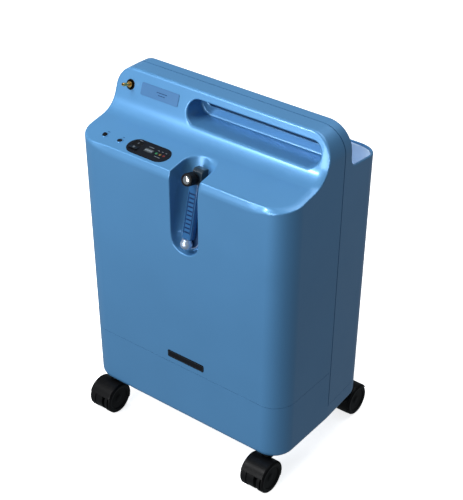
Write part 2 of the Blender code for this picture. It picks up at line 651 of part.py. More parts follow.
ball = bmesh.new()
bmesh.ops.create_uvsphere(ball, u_segments=16, v_segments=10, radius=FLOAT_R)
ball.to_mesh(float_ball)
ball.free()
meter_float = finish("meter_float", float_ball, STEEL, smooth=True)
meter_float.matrix_world = in_meter(0, -0.0010, FLOAT_R + 0.0006)

knob_axis = in_meter(0, 0, KNOB_W) @ Matrix.Rotation(math.radians(90), 4, 'X')
KNOB_R = 0.0098
KNOB_BACK, KNOB_FRONT = 0.0096, 0.0280
turned("flow_knob", [(0.0, KNOB_FRONT - 0.0030), (0.0067, KNOB_FRONT - 0.0030),
                     (0.0067, KNOB_FRONT - 0.0004), (0.0086, KNOB_FRONT - 0.0004),
                     (KNOB_R, KNOB_FRONT - 0.0020), (KNOB_R, KNOB_BACK + 0.0030),
                     (0.0082, KNOB_BACK), (0.0023, KNOB_BACK), (0.0023, KNOB_BACK + 0.0080),
                     (0.0, KNOB_BACK + 0.0080)], BLACK, knob_axis, 32)
turned("knob_cap", [(0.0, KNOB_FRONT + 0.0010), (0.0040, KNOB_FRONT + 0.0007),
                    (0.0064, KNOB_FRONT - 0.0004), (0.0064, KNOB_FRONT - 0.0027),
                    (0.0, KNOB_FRONT - 0.0027)], CHROME, knob_axis, 32)
turned("valve_stem", [(0.0, KNOB_BACK + 0.0077), (0.0020, KNOB_BACK + 0.0077),
                      (0.0020, 0.0020), (0.0010, -0.0010), (0.0, -0.0010)], BRASS, knob_axis, 16)

# ---- rear fittings ------------------------------------------------------------------------------------
DOOR = (0.110, 0.120)
DOOR_AT = (-0.060, BASE_Z + 0.236)
GRILLE = (0.170, 0.060)
GRILLE_AT = (-0.030, BASE_Z + 0.086)
INLET = (0.050, 0.030)
INLET_AT = (BASE_W / 2 - 0.065, GRILLE_AT[1])
REAR_TILT = math.atan(DRAFT_Y)


def on_back(x, z):
    """Frame on the rear face: X as the machine's, Y up the face, Z into the machine."""
    return (Matrix.Translation((x, half_depth(z), z))
            @ Matrix.Rotation(math.radians(90) - REAR_TILT, 4, 'X'))


def into(frame, depth):
    return frame @ Matrix.Translation((0, 0, depth))


for name, size, place in (("door_hole", DOOR, DOOR_AT), ("grille_hole", GRILLE, GRILLE_AT),
                          ("inlet_hole", INLET, INLET_AT)):
    boolean(rear_shell, outlined(name, rounded_rect(*size, 0.004, 3), 0.030, on_back(*place)))
door_t = 0.0028
filter_door = outlined("filter_door", rounded_rect(DOOR[0] - 0.0012, DOOR[1] - 0.0012, 0.0036, 3),
                       door_t, into(on_back(*DOOR_AT), door_t / 2 + 0.0001), BLUE)
boolean(filter_door, outlined("door_thumb", arc((0, DOOR[1] / 2), 0.009, 180, 360, 10),
                              0.02, on_back(*DOOR_AT)))
for row in range(7):
    slot = outlined(f"door_slot_{row}", stadium(0.076, 0.0036, 4), 0.02,
                    on_back(DOOR_AT[0], DOOR_AT[1] - 0.042 + row * 0.012))
    boolean(filter_door, slot)
outlined("intake_filter", rounded_rect(0.096, 0.104, 0.004, 3), 0.010,
         into(on_back(*DOOR_AT), 0.0100), FOAM)
exhaust_grille = outlined("exhaust_grille", rounded_rect(GRILLE[0] - 2 * SLIP, GRILLE[1] - 2 * SLIP,
                                                         0.0036, 3), 0.0028,
                          into(on_back(*GRILLE_AT), 0.0016), BLACK)
for column in range(12):
    u = GRILLE_AT[0] + (column - 5.5) * 0.0130
    boolean(exhaust_grille, outlined(f"grille_slot_{column}", rounded_rect(0.0050, 0.044, 0.0022, 2),
                                     0.02, on_back(u, GRILLE_AT[1])))
mains_inlet = outlined("mains_inlet", rounded_rect(INLET[0] - 2 * SLIP, INLET[1] - 2 * SLIP,
                                                   0.0036, 3), 0.0240,
                       into(on_back(*INLET_AT), 0.0110), BLACK)
boolean(mains_inlet, outlined("inlet_socket", rounded_rect(0.0245, 0.0165, 0.0030, 3), 0.0340,
                              on_back(*INLET_AT)))
for blade in (-0.007, 0.0, 0.007):
    v = 0.002 if blade == 0.0 else -0.002
    boolean(mains_inlet, outlined(f"inlet_blade_{blade}", rounded_rect(0.0020, 0.0044, 0.0006, 1),
                                  0.0140, into(on_back(INLET_AT[0] + blade, INLET_AT[1] + v),
                                               0.0120)), 'UNION')

# ---- inside ---------------------------------------------------------------------------------------------
FLOOR_Z = BASE_Z + WALL + SLIP          # what stands on the base pan starts here
ISOLATOR_H = 0.012
PUMP_R = 0.046
PUMP_L = 0.130
PUMP_Y = -0.011
PUMP_LOW = FLOOR_Z + ISOLATOR_H + SLIP
PUMP_Z = PUMP_LOW + PUMP_R + 0.006
for side, sign in (("front", -1), ("rear", 1)):
    box("isolator_" + side, (0.140, 0.016, ISOLATOR_H),
        (0, PUMP_Y + sign * 0.041, FLOOR_Z + ISOLATOR_H / 2), RUBBER)
compressor = cylinder("compressor_body", PUMP_R, PUMP_L, (0, PUMP_Y, PUMP_Z), "x", ALLOY)
boolean(compressor, box("pump_feet", (PUMP_L - 0.010, 0.100, 0.014),
                        (0, PUMP_Y, PUMP_LOW + 0.007)), 'UNION')
for side, sign in (("l", -1), ("r", 1)):
    head_x = sign * (PUMP_L / 2 + SLIP + 0.013)
    head = box("compressor_head_" + side, (0.026, 0.058, 0.058), (head_x, PUMP_Y, PUMP_Z), STEEL, 0.004)
    for fin in (-1, 0, 1):
        boolean(head, box(f"fin_{side}_{fin}", (0.004, 0.08, 0.08),
                          (head_x + fin * 0.007, PUMP_Y, PUMP_Z + 0.060)))

# two sieve beds, joined by the valve manifold that carries the product tank
BED_R = 0.034
BED_X = BASE_W / 2 - 0.016 - BED_R
BED_Y = 0.058
BED_TOP = TROUGH_FLOOR_Z - WALL - 0.015
bed_h = BED_TOP - FLOOR_Z
bed = [(0.0, bed_h), (0.010, bed_h), (0.010, bed_h - 0.006), (BED_R - 0.004, bed_h - 0.010),
       (BED_R, bed_h - 0.014), (BED_R, 0.004), (BED_R - 0.004, 0.0), (0.0, 0.0)]
for side, sign in (("l", -1), ("r", 1)):
    turned("sieve_bed_" + side, bed, ALLOY, Matrix.Translation((sign * BED_X, BED_Y, FLOOR_Z)))
MANIFOLD_Z = (BED_TOP - 0.209, BED_TOP - 0.179)
box("valve_manifold", (2 * (BED_X - BED_R - SLIP), 0.040, MANIFOLD_Z[1] - MANIFOLD_Z[0]),
    (0, BED_Y, sum(MANIFOLD_Z) / 2), ALLOY, 0.003)
TANK_R = 0.030
TANK_H = 0.160
TANK_AT = Vector((BED_X - BED_R - TANK_R - 0.016, BED_Y, MANIFOLD_Z[1] + SLIP))
turned("product_tank", [(0.0, TANK_H), (0.020, TANK_H - 0.003), (TANK_R, TANK_H - 0.013),
                        (TANK_R, 0.013), (0.020, 0.003), (0.0, 0.0)], GREY,
       Matrix.Translation(TANK_AT))

# an upright chassis plate that carries fan, board, muffler and cooler on its front
CHASSIS_Y = -0.0345
CHASSIS_T = 0.003
CHASSIS_X = BASE_W / 2 - 0.025
CHASSIS_TOP = DECK_Z - 0.027
LEG_X = PUMP_L / 2 + 0.036
FAN_R = 0.052
FAN_AT = (-CHASSIS_X + 0.020 + FAN_R + 0.008, DECK_Z - 0.212)
BOARD_AT = (-CHASSIS_X + 0.060, CHASSIS_TOP - 0.045)
plate = [(-CHASSIS_X, FLOOR_Z), (-LEG_X, FLOOR_Z), (-LEG_X, PUMP_Z + PUMP_R + 0.010),
         (LEG_X, PUMP_Z + PUMP_R + 0.010), (LEG_X, FLOOR_Z), (CHASSIS_X, FLOOR_Z),
         (CHASSIS_X, CHASSIS_TOP), (-CHASSIS_X, CHASSIS_TOP)]
chassis = through_y("chassis_plate", plate, 0, 0, CHASSIS_Y - CHASSIS_T, CHASSIS_Y, STEEL)
boolean(chassis, cylinder("chassis_hole", FAN_R - 0.003, 0.05, (FAN_AT[0], CHASSIS_Y, FAN_AT[1]), "y"))
carried_y = CHASSIS_Y - CHASSIS_T - SLIP
fan_y = carried_y - 0.011
shroud = box("fan_shroud", (0.120, 0.022, 0.120), (FAN_AT[0], fan_y, FAN_AT[1]), BLACK, 0.003)
boolean(shroud, cylinder("shroud_bore", FAN_R + 0.002, 0.05, (FAN_AT[0], fan_y, FAN_AT[1]), "y"))
rotor = cylinder("fan_rotor", 0.018, 0.016, (0, 0, 0), "y", GREY, segments=24)
vane_l = FAN_R - 0.016
for blade in range(7):
    vane = box(f"fan_blade_{blade}", (0.0200, 0.0020, vane_l), (0, 0, 0))
    vane.data.transform(Matrix.Rotation(2 * math.pi * blade / 7, 4, 'Y')
                        @ Matrix.Translation((0, 0, FAN_R - vane_l / 2 - 0.001))
                        @ Matrix.Rotation(math.radians(32), 4, 'Z'))
    vane.location = (FAN_AT[0], fan_y, FAN_AT[1])
    boolean(rotor, vane, 'UNION')
rotor.location = (FAN_AT[0], fan_y, FAN_AT[1])
board = box("control_board", (0.110, 0.0016, 0.080), (BOARD_AT[0], carried_y - 0.0008, BOARD_AT[1]), BOARD)
for u, v, w, h, t in ((-0.030, 0.015, 0.030, 0.024, 0.012), (0.015, -0.015, 0.020, 0.020, 0.016),
                      (0.035, 0.020, 0.012, 0.026, 0.010), (-0.035, -0.024, 0.026, 0.010, 0.008)):
    boolean(board, box(f"chip_{u}", (w, t, h),
                       (BOARD_AT[0] + u, carried_y - 0.0008 - t / 2, BOARD_AT[1] + v)), 'UNION')
MUFFLER_R = 0.020
turned("muffler", [(0.0, 0.045), (0.017, 0.043), (MUFFLER_R, 0.038), (MUFFLER_R, -0.038),
                   (0.017, -0.043), (0.0, -0.045)], BLACK,
       Matrix.Translation((CHASSIS_X - 0.030, carried_y - MUFFLER_R - 0.001, FAN_AT[1] - 0.050)))
COIL_R = 0.030
COIL_TUBE_R = 0.0035
coil_y = carried_y - COIL_R - COIL_TUBE_R - 0.001
coil_x = CHASSIS_X - 0.055
coil = [(coil_x + COIL_R * math.cos(a), coil_y + COIL_R * math.sin(a), FAN_AT[1] + 0.030 + 0.0022 * a)
        for a in [2 * math.pi * i / 12 for i in range(49)]]
tube("cooler_coil", coil, COIL_TUBE_R, STEEL)


def smooth_route(points, steps):
    """Catmull-Rom points through a route."""
    ends = [points[0]] + list(points) + [points[-1]]
    out = []
    for a, b, c, d in zip(ends, ends[1:], ends[2:], ends[3:]):
        for i in range(steps):
            t = i / steps
            out.append(tuple(0.5 * (2 * b + (c - a) * t + (2 * a - 5 * b + 4 * c - d) * t ** 2
                                    + (3 * b - a - 3 * c + d) * t ** 3)))
    return out + [tuple(points[-1])]


# product hose from the tank's lid, under the trough, to the back of the outlet
HOSE_R = 0.0035
lid = TANK_AT + Vector((0, 0, TANK_H + SLIP))
hose_under = TROUGH_FLOOR_Z - WALL - HOSE_R - 0.004
outlet_end = outlet_frame @ Vector((0, 0, -BARB_IN - SLIP))
route = [lid + Vector((0, 0, 0.006)), Vector((lid.x - 0.004, 0.036, hose_under)),
         Vector((lid.x - 0.040, 0.008, hose_under + 0.004)),
         Vector((OUTLET_AT[0] * 0.35, -0.006, TROUGH_FLOOR_Z + 0.010)),
         Vector((OUTLET_AT[0] * 0.77, -0.004, TROUGH_FLOOR_Z + 0.040)),
         Vector((OUTLET_AT[0] + 0.006, 0.000, OUTLET_AT[1] - 0.041)),
         outlet_frame @ Vector((0, 0, -BARB_IN - 0.006))]
tube("product_hose", [tuple(lid)] + smooth_route(route, 6) + [tuple(outlet_end)], HOSE_R, HOSE)
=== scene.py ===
"""Looks of the oxygen concentrator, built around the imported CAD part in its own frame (metres)."""
import math

import bmesh
import bpy
import numpy as np
from mathutils import Matrix, Vector


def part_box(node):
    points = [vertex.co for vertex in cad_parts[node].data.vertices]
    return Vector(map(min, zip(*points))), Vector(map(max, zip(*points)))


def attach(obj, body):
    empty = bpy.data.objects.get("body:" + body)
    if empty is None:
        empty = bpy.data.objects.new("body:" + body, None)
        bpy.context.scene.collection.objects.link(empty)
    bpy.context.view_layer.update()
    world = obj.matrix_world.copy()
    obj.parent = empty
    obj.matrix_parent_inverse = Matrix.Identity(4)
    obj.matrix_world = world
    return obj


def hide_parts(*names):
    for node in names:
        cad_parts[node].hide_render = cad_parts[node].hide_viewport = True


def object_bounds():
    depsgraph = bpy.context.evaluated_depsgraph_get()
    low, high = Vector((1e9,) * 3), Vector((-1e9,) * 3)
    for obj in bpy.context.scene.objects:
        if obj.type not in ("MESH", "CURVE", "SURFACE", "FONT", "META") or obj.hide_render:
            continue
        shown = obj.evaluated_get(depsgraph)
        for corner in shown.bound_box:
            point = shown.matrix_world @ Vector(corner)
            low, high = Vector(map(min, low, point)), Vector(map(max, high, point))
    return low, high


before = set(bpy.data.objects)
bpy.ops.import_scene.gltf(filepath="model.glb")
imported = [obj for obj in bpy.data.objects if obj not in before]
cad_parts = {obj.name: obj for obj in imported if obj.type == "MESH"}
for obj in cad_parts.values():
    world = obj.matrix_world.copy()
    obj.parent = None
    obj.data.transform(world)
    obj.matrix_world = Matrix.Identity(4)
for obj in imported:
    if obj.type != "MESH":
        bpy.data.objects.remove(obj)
CAD_LOW, CAD_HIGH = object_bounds()


def mid(node):
    low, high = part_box(node)
    return (low + high) / 2


def span(node):
    low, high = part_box(node)
    return high - low


# ---- form of the housing ------------------------------------------------------------------------
HEIGHT = CAD_HIGH.z
BASE_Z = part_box("base_pan")[0].z
BASE_W = 0.380
BASE_D = 0.240
DRAFT_X, DRAFT_Y = 0.0145, 0.0070
FRONT_R, REAR_R = 0.037, 0.036
REAR_TAPER = 0.007
WALL = 0.0025
SEAM_Y = 0.012
SEAM_GAP = 0.0014
PAN_GAP = 0.0005
PAN_REAR_Z = BASE_Z + 0.026
PAN_FRONT_Z = BASE_Z + 0.094
FOOT_R = 0.010
LIP = 0.005                   # rim below the underside
LIP_WALL = 0.0075
EDGE_X = (0.125, 0.06)        # the front edge's band gives way to the side's over this stretch of |x|
BAND_DROP, BAND_REACH = 0.0100, 0.0085    # height of the front band, width of the side band
DECK_Z = HEIGHT - 0.078
DECK_RISE = 0.19
FRONT_Y = -BASE_D / 2 - DRAFT_Y * (DECK_Z - BASE_Z)
HEAD_FACE_Y = -0.0175
HEAD_FACE_Z = HEIGHT - 0.005
HEAD_LEAN = 0.37
HEAD_BACK_Y = 0.032
COVE_R = 0.040
HEAD_R_LEFT, HEAD_R_RIGHT = 0.030, 0.041
RIM_Z = HEIGHT - 0.066
RIM_BACK_Z = HEIGHT - 0.079
RIM_COVE_R = 0.016
TROUGH_FLOOR_Z = HEIGHT - 0.150
TROUGH_WALL = 0.004
GRIP_X = (-0.057, BASE_W / 2 - 0.010)
GRIP_Z = (HEIGHT - 0.049, HEIGHT - 0.013)
GRIP_STEP_Y = SEAM_Y - 0.004
REAR_GRIP_Z = (HEIGHT - 0.033, HEIGHT - 0.0145)
METER_X = mid("meter_tube").x
METER_R = 0.027
METER_Z = HEIGHT - 0.208
METER_BACK_Y = -BASE_D / 2 + 0.016
METER_BACK_Z = HEIGHT - 0.205
METER_LEAN = math.radians(14)
CASTER_X, CASTER_Y = BASE_W / 2 - 0.033, BASE_D / 2 - 0.020
WHEEL_R = mid("caster_wheel_fl_l").z
TRAIL = abs(mid("caster_wheel_fl_l").y) - CASTER_Y


# ---- signed distance, in numpy ------------------------------------------------------------------
def round_and(a, b, r):
    """Common part of two solids with its edge rounded to radius r."""
    return (np.minimum(np.maximum(a, b), -r)
            + np.hypot(np.maximum(a + r, 0.0), np.maximum(b + r, 0.0)))


def round_cut(a, b, r):
    return round_and(a, -b, r)


def round_or(a, b, r):
    return -round_and(-a, -b, r)


def cove(a, b, cosine, r):
    """Union of two half spaces whose normals have this cosine, with an exact round fillet."""
    qa, qb = a - r, b - r
    within = (qb < cosine * qa) & (qa < cosine * qb)
    reach = np.sqrt(np.maximum(qa * qa + qb * qb - 2 * cosine * qa * qb, 0.0) / (1 - cosine ** 2))
    return np.where(within, r - reach, np.minimum(a, b))


def ramp(t):
    t = np.clip(t, 0.0, 1.0)
    return t * t * (3 - 2 * t)


def plan_form(x, y, z):
    """The drafted upright block in plan, its corners rounded."""
    wide = BASE_W / 2 + DRAFT_X * (z - BASE_Z)
    deep = BASE_D / 2 + DRAFT_Y * (z - BASE_Z)
    taper = REAR_TAPER * np.maximum((y - SEAM_Y) / (BASE_D / 2 - SEAM_Y), 0.0)
    side = np.abs(x) - wide + taper
    return round_and(round_and(side, -y - deep, FRONT_R), y - deep, REAR_R)


def rim_plane(y, z):
    """Height above the sloping rim of the rear pocket."""
    slope = (RIM_BACK_Z - RIM_Z) / (BASE_D / 2 + DRAFT_Y * (RIM_BACK_Z - BASE_Z) - HEAD_BACK_Y)
    return (z - RIM_Z - slope * (y - HEAD_BACK_Y)) / math.hypot(1, slope), -slope / math.hypot(1, slope)


def pocket(x, y, z, inset=0.0):
    """The open pocket behind the head."""
    hollow = round_and(plan_form(x, y, z) + TROUGH_WALL + inset, HEAD_BACK_Y + inset - y, 0.006)
    return round_and(hollow, TROUGH_FLOOR_Z + inset - z, 0.006)


def housing(x, y, z):
    """The whole housing as one solid: block, deck, head, trough, grip and meter recess."""
    plan = plan_form(x, y, z)
    body = round_and(plan, z - HEIGHT, np.where(x > 0, HEAD_R_RIGHT, HEAD_R_LEFT))
    body = round_and(body, BASE_Z - LIP - z, FOOT_R)
    body = round_cut(body, round_and(plan + LIP_WALL, z - BASE_Z, 0.002), 0.001)

    deck = (z - DECK_Z - DECK_RISE * (y - FRONT_Y)) / math.hypot(1, DECK_RISE)
    face = (HEAD_FACE_Y + HEAD_LEAN * (z - HEAD_FACE_Z) - y) / math.hypot(1, HEAD_LEAN)
    cosine = (DECK_RISE + HEAD_LEAN) / (math.hypot(1, DECK_RISE) * math.hypot(1, HEAD_LEAN))
    front = cove(deck, face, cosine, COVE_R)
    # the edge is broken by a steep band along the front and a flat one down the right side
    outline = body
    body = round_and(body, front, 0.0022)
    steep = (1 - ramp((np.abs(x) - EDGE_X[0]) / EDGE_X[1])) * (1 - ramp((z - DECK_Z - 0.006) / 0.012))
    shallow = ramp((x - EDGE_X[0]) / EDGE_X[1]) * (1 - ramp((z - HEIGHT + 0.035) / 0.025))
    drop = 0.0015 + (BAND_DROP - 0.0015) * steep + 0.0007 * shallow
    reach = 0.0015 + 0.0017 * steep + (BAND_REACH - 0.0015) * shallow
    band = (front * reach + outline * drop + reach * drop) / np.hypot(drop, reach)
    body = round_and(body, band, 0.0012)

    rim, cosine = rim_plane(y, z)
    rear = cove(rim, y - HEAD_BACK_Y, cosine, RIM_COVE_R)
    body = round_and(body, rear, 0.0018 + 0.0017 * ramp((z - RIM_Z - 0.005) / 0.03))
    body = round_cut(body, pocket(x, y, z), 0.0018)

    grip_x, grip_z = sum(GRIP_X) / 2, sum(GRIP_Z) / 2
    r = (GRIP_Z[1] - GRIP_Z[0]) / 2
    reach = (GRIP_X[1] - GRIP_X[0]) / 2 - r
    slot = np.hypot(np.maximum(np.abs(x - grip_x) - reach, 0.0), z - grip_z) - r
    body = round_cut(body, round_and(slot, y - GRIP_STEP_Y, 0.004), 0.0028)
    half_w, half_h = (GRIP_X[1] - GRIP_X[0]) / 2 - 0.010, (REAR_GRIP_Z[1] - REAR_GRIP_Z[0]) / 2
    qx = np.abs(x - grip_x) - half_w + 0.009
    qz = np.abs(z - sum(REAR_GRIP_Z) / 2) - half_h + 0.009
    hole = (np.hypot(np.maximum(qx, 0.0), np.maximum(qz, 0.0))
            + np.minimum(np.maximum(qx, qz), 0.0) - 0.009)
    body = round_cut(body, hole, 0.0014)

    v = ((y - METER_BACK_Y) * math.cos(METER_LEAN) - (z - METER_BACK_Z) * math.sin(METER_LEAN))
    channel = np.hypot(x - METER_X, np.maximum(v + METER_R, 0.0)) - METER_R
    low = np.hypot(x - METER_X, np.minimum(z - METER_Z - METER_R, 0.0)) - METER_R
    recess = round_and(channel, low, 0.005)
    soft = ramp((x - METER_X) / 0.02) * ramp((z - DECK_Z + 0.030) / 0.03)
    return round_cut(body, recess, 0.0018 + 0.0066 * soft)


def core(x, y, z):
    """The hollow inside the housing's wall."""
    return housing(x, y, z) + WALL


HALF_DRUM = 0.0094            # half the width between the wheels
HOOD_TOP = BASE_Z - 0.0008
DRUM_R, HUB_R, WEB_R = 0.0253, 0.0130, 0.0275
FENDER_R = (0.0268, 0.0282)   # inside and outside
FENDER_HALF = 0.0216
FENDER_LOW = math.radians(26)     # how far the fender comes down in front
COLLAR_R, STEM_R, STEM_UP = 0.0095, 0.0040, 0.018
AXLE_BORE = 0.00308


def hood(x, y, z):
    """A caster's hood, swivel axis at x = y = 0, wheels trailing towards -Y."""
    across, upright = y + TRAIL, z - WHEEL_R
    reach = np.hypot(across, upright)
    sector = -(upright * math.cos(FENDER_LOW) + across * math.sin(FENDER_LOW))
    drum = round_and(reach - DRUM_R, np.abs(x + 0.0024) - 0.0070, 0.0010)
    hub = round_and(reach - HUB_R, np.abs(x) - HALF_DRUM, 0.0006)
    web = round_and(round_and(reach - WEB_R, np.abs(x) - HALF_DRUM, 0.0008), sector, 0.0012)
    fender = round_and(round_and(reach - FENDER_R[1], np.abs(x) - FENDER_HALF, 0.0030), sector, 0.0006)
    room = round_and(reach - FENDER_R[0], HALF_DRUM - np.abs(x), 0.0004)
    fender = round_cut(fender, room, 0.0004)
    body = round_or(round_or(drum, hub, 0.001), web, 0.0010)
    body = np.minimum(body, fender)
    collar = round_and(np.hypot(x, y) - COLLAR_R, np.maximum(z - HOOD_TOP, 0.050 - z), 0.0008)
    body = round_or(body, collar, 0.0015)
    stem = round_and(np.hypot(x, y) - STEM_R, np.maximum(z - BASE_Z - STEM_UP, 0.055 - z), 0.0008)
    body = np.minimum(body, stem)
    body = round_and(body, 0.0012 - z, 0.0006)
    return round_cut(body, reach - AXLE_BORE, 0.0004)


# ---- from distance to mesh ----------------------------------------------------------------------
def slope_of(field, points, step=2e-6):
    """Distance and gradient at the points."""
    x, y, z = points.T
    at = field(x, y, z)
    grad = np.stack([field(x + step, y, z) - at, field(x, y + step, z) - at,
                     field(x, y, z + step) - at], axis=1) / step
    return at, grad


def settle(field, points, most, rounds=2):
    """Points moved onto the surface, each by no more than most."""
    start = points.copy()
    for _ in range(rounds):
        at, grad = slope_of(field, points)
        points = points - grad * (at / np.maximum((grad ** 2).sum(axis=1), 0.05))[:, None]
        points = start + np.clip(points - start, -most, most)
    return points


def surface_nets(field, low, high, cell):
    """Quads of the surface field = 0: one vertex in each cell that it crosses."""
    low = np.array(low, float)
    blocks = np.ceil((np.array(high) - low) / (4 * cell)).astype(int) + 1
    mids = [low[a] + cell * (4 * np.arange(blocks[a]) + 1.5) for a in range(3)]
    coarse = field(mids[0][:, None, None], mids[1][None, :, None], mids[2][None, None, :])
    grid = np.repeat(np.repeat(np.repeat(coarse.astype(np.float32), 4, 0), 4, 1), 4, 2)
    near = np.argwhere(np.abs(coarse) < 4.4 * cell)
    at = low[None, :, None] + cell * (4 * near[:, :, None] + np.arange(4))
    by_block = grid.reshape(blocks[0], 4, blocks[1], 4, blocks[2], 4)
    by_block[near[:, 0], :, near[:, 1], :, near[:, 2], :] = field(
        at[:, 0, :, None, None], at[:, 1, None, :, None], at[:, 2, None, None, :])

    size = np.array(grid.shape)
    stride = np.array([size[1] * size[2], size[2], 1])
    inside = grid < 0
    flat = grid.reshape(-1)
    rings, points = [], []
    for a in range(3):
        b, c = (a + 1) % 3, (a + 2) % 3
        first, second = [slice(None)] * 3, [slice(None)] * 3
        first[a], second[a] = slice(None, -1), slice(1, None)
        where = np.argwhere(inside[tuple(first)] != inside[tuple(second)])
        start = where @ stride
        d0, d1 = flat[start].astype(float), flat[start + stride[a]].astype(float)
        spot = low + cell * where
        spot[:, a] += cell * d0 / (d0 - d1)
        ring = np.stack([start, start - stride[b], start - stride[b] - stride[c],
                         start - stride[c]], axis=1)
        ring[d0 > 0] = ring[d0 > 0][:, ::-1]
        rings.append(ring)
        points.append(spot)
    rings, points = np.concatenate(rings), np.concatenate(points)
    number = np.full(flat.shape[0], -1, np.int32)
    number[rings.reshape(-1)] = 0
    used = np.flatnonzero(number == 0)
    number[used] = np.arange(len(used))
    quads = number[rings]
    index = quads.reshape(-1)
    count = np.bincount(index, minlength=len(used)).astype(float)
    verts = np.stack([np.bincount(index, np.repeat(points[:, a], 4), len(used)) / count
                      for a in range(3)], axis=1)
    return settle(field, verts, 0.5 * cell), quads


def raw_mesh(name, verts, faces):
    """A mesh from arrays of points and of equal-sided faces."""
    mesh = bpy.data.meshes.new(name)
    mesh.vertices.add(len(verts))
    mesh.vertices.foreach_set("co", verts.astype(np.float32).ravel())
    sides = faces.shape[1]
    mesh.loops.add(faces.size)
    mesh.loops.foreach_set("vertex_index", faces.astype(np.int32).ravel())
    mesh.polygons.add(len(faces))
    mesh.polygons.foreach_set("loop_start", np.arange(0, faces.size, sides, dtype=np.int32))
    mesh.update(calc_edges=True)
    return mesh


def points_of(mesh):
    co = np.empty(len(mesh.vertices) * 3, np.float32)
    mesh.vertices.foreach_get("co", co)
    return co.reshape(-1, 3).astype(float)


def linked(name, mesh):
    obj = bpy.data.objects.new(name, mesh)
    bpy.context.scene.collection.objects.link(obj)
    return obj


def baked(obj):
    """The object's mesh with its modifiers applied; the object goes."""
    graph = bpy.context.evaluated_depsgraph_get()
    mesh = bpy.data.meshes.new_from_object(obj.evaluated_get(graph))
    mesh.name = obj.name
    bpy.data.objects.remove(obj, do_unlink=True)
    return mesh


def field_mesh(name, field, low, high, cell, share):
    """Mesh of a distance field, thinned to a share of its faces where it is flat."""
    obj = linked(name, raw_mesh(name, *surface_nets(field, low, high, cell)))
    thin = obj.modifiers.new("thin", 'DECIMATE')
    thin.ratio = share
    mesh = baked(obj)
    co = settle(field, points_of(mesh), 0.3 * cell)
    mesh.vertices.foreach_set("co", co.astype(np.float32).ravel())
    mesh.update()
    return mesh


def cut(obj, tool, operation='DIFFERENCE'):
    step = obj.modifiers.new(operation.lower(), 'BOOLEAN')
    step.operation = operation
    step.solver = 'MANIFOLD'
    step.object = tool
    return obj


def true_normals(mesh, field, near=0.0003):
    """Corner normals from the field where a face lies on its surface, else by angle."""
    mesh.shade_smooth()
    mesh.set_sharp_from_angle(angle=math.radians(32))
    at, grad = slope_of(field, points_of(mesh))
    grad /= np.maximum(np.linalg.norm(grad, axis=1), 1e-9)[:, None]
    corner = np.empty(len(mesh.loops), np.int32)
    mesh.loops.foreach_get("vertex_index", corner)
    own = np.empty(len(mesh.loops) * 3, np.float32)
    mesh.corner_normals.foreach_get("vector", own)
    own = own.reshape(-1, 3)
    total = np.empty(len(mesh.polygons), np.int32)
    mesh.polygons.foreach_get("loop_total", total)
    flat = np.empty(len(mesh.polygons) * 3, np.float32)
    mesh.polygons.foreach_get("normal", flat)
    face = np.repeat(flat.reshape(-1, 3), total, axis=0)
    from_field = grad[corner]
    good = (np.abs(at[corner]) < near) & ((from_field * face).sum(axis=1) > 0.75)
    own[good] = from_field[good]
    mesh.normals_split_custom_set(own.tolist())
    return mesh


# ---- materials ----------------------------------------------------------------------------------
def surface(name, colour, rough, metal=0.0, vary=0.05, patch=14.0, grain=900.0, bump=0.05,
            spread=0.06, wear=0.0, **sockets):
    """Principled surface with colour drift, uneven roughness, fine grain and worn edges."""
    made = bpy.data.materials.new(name)
    made.use_nodes = True
    nodes, links = made.node_tree.nodes, made.node_tree.links
    shader = nodes["Principled BSDF"]
    shader.inputs["Metallic"].default_value = metal
    for socket, value in sockets.items():
        shader.inputs[socket.replace("_", " ")].default_value = value
    place = nodes.new("ShaderNodeTexCoord")

    def noise(scale, detail, rough_noise=0.5):
        node = nodes.new("ShaderNodeTexNoise")
        node.inputs["Scale"].default_value = scale
        node.inputs["Detail"].default_value = detail
        node.inputs["Roughness"].default_value = rough_noise
        links.new(place.outputs["Object"], node.inputs["Vector"])
        return node.outputs["Fac"]

    def mapped(value, low, high, start=0.3, end=0.7):
        node = nodes.new("ShaderNodeMapRange")
        for socket, number in (("From Min", start), ("From Max", end), ("To Min", low),
                               ("To Max", high)):
            node.inputs[socket].default_value = number
        links.new(value, node.inputs["Value"])
        return node.outputs["Result"]

    broad, fine = noise(patch, 3.0), noise(grain, 2.0)
    tint = nodes.new("ShaderNodeHueSaturation")
    tint.inputs["Color"].default_value = (*colour, 1.0)
    links.new(mapped(broad, 1.0 - vary, 1.0 + vary), tint.inputs["Value"])
    out = tint.outputs["Color"]
    if wear:
        edge = nodes.new("ShaderNodeNewGeometry")
        mix = nodes.new("ShaderNodeMix")
        mix.data_type = 'RGBA'
        links.new(mapped(edge.outputs["Pointiness"], 0.0, wear, 0.52, 0.60), mix.inputs["Factor"])
        links.new(out, mix.inputs["A"])
        mix.inputs["B"].default_value = (*[min(1.0, 0.10 + 1.25 * c) for c in colour], 1.0)
        out = mix.outputs["Result"]
    links.new(out, shader.inputs["Base Color"])
    links.new(mapped(noise(patch * 3, 4.0), rough - spread / 2, rough + spread / 2),
              shader.inputs["Roughness"])
    relief = nodes.new("ShaderNodeBump")
    relief.inputs["Strength"].default_value = bump
    relief.inputs["Distance"].default_value = 0.0003
    links.new(fine, relief.inputs["Height"])
    links.new(relief.outputs["Normal"], shader.inputs["Normal"])
    return made


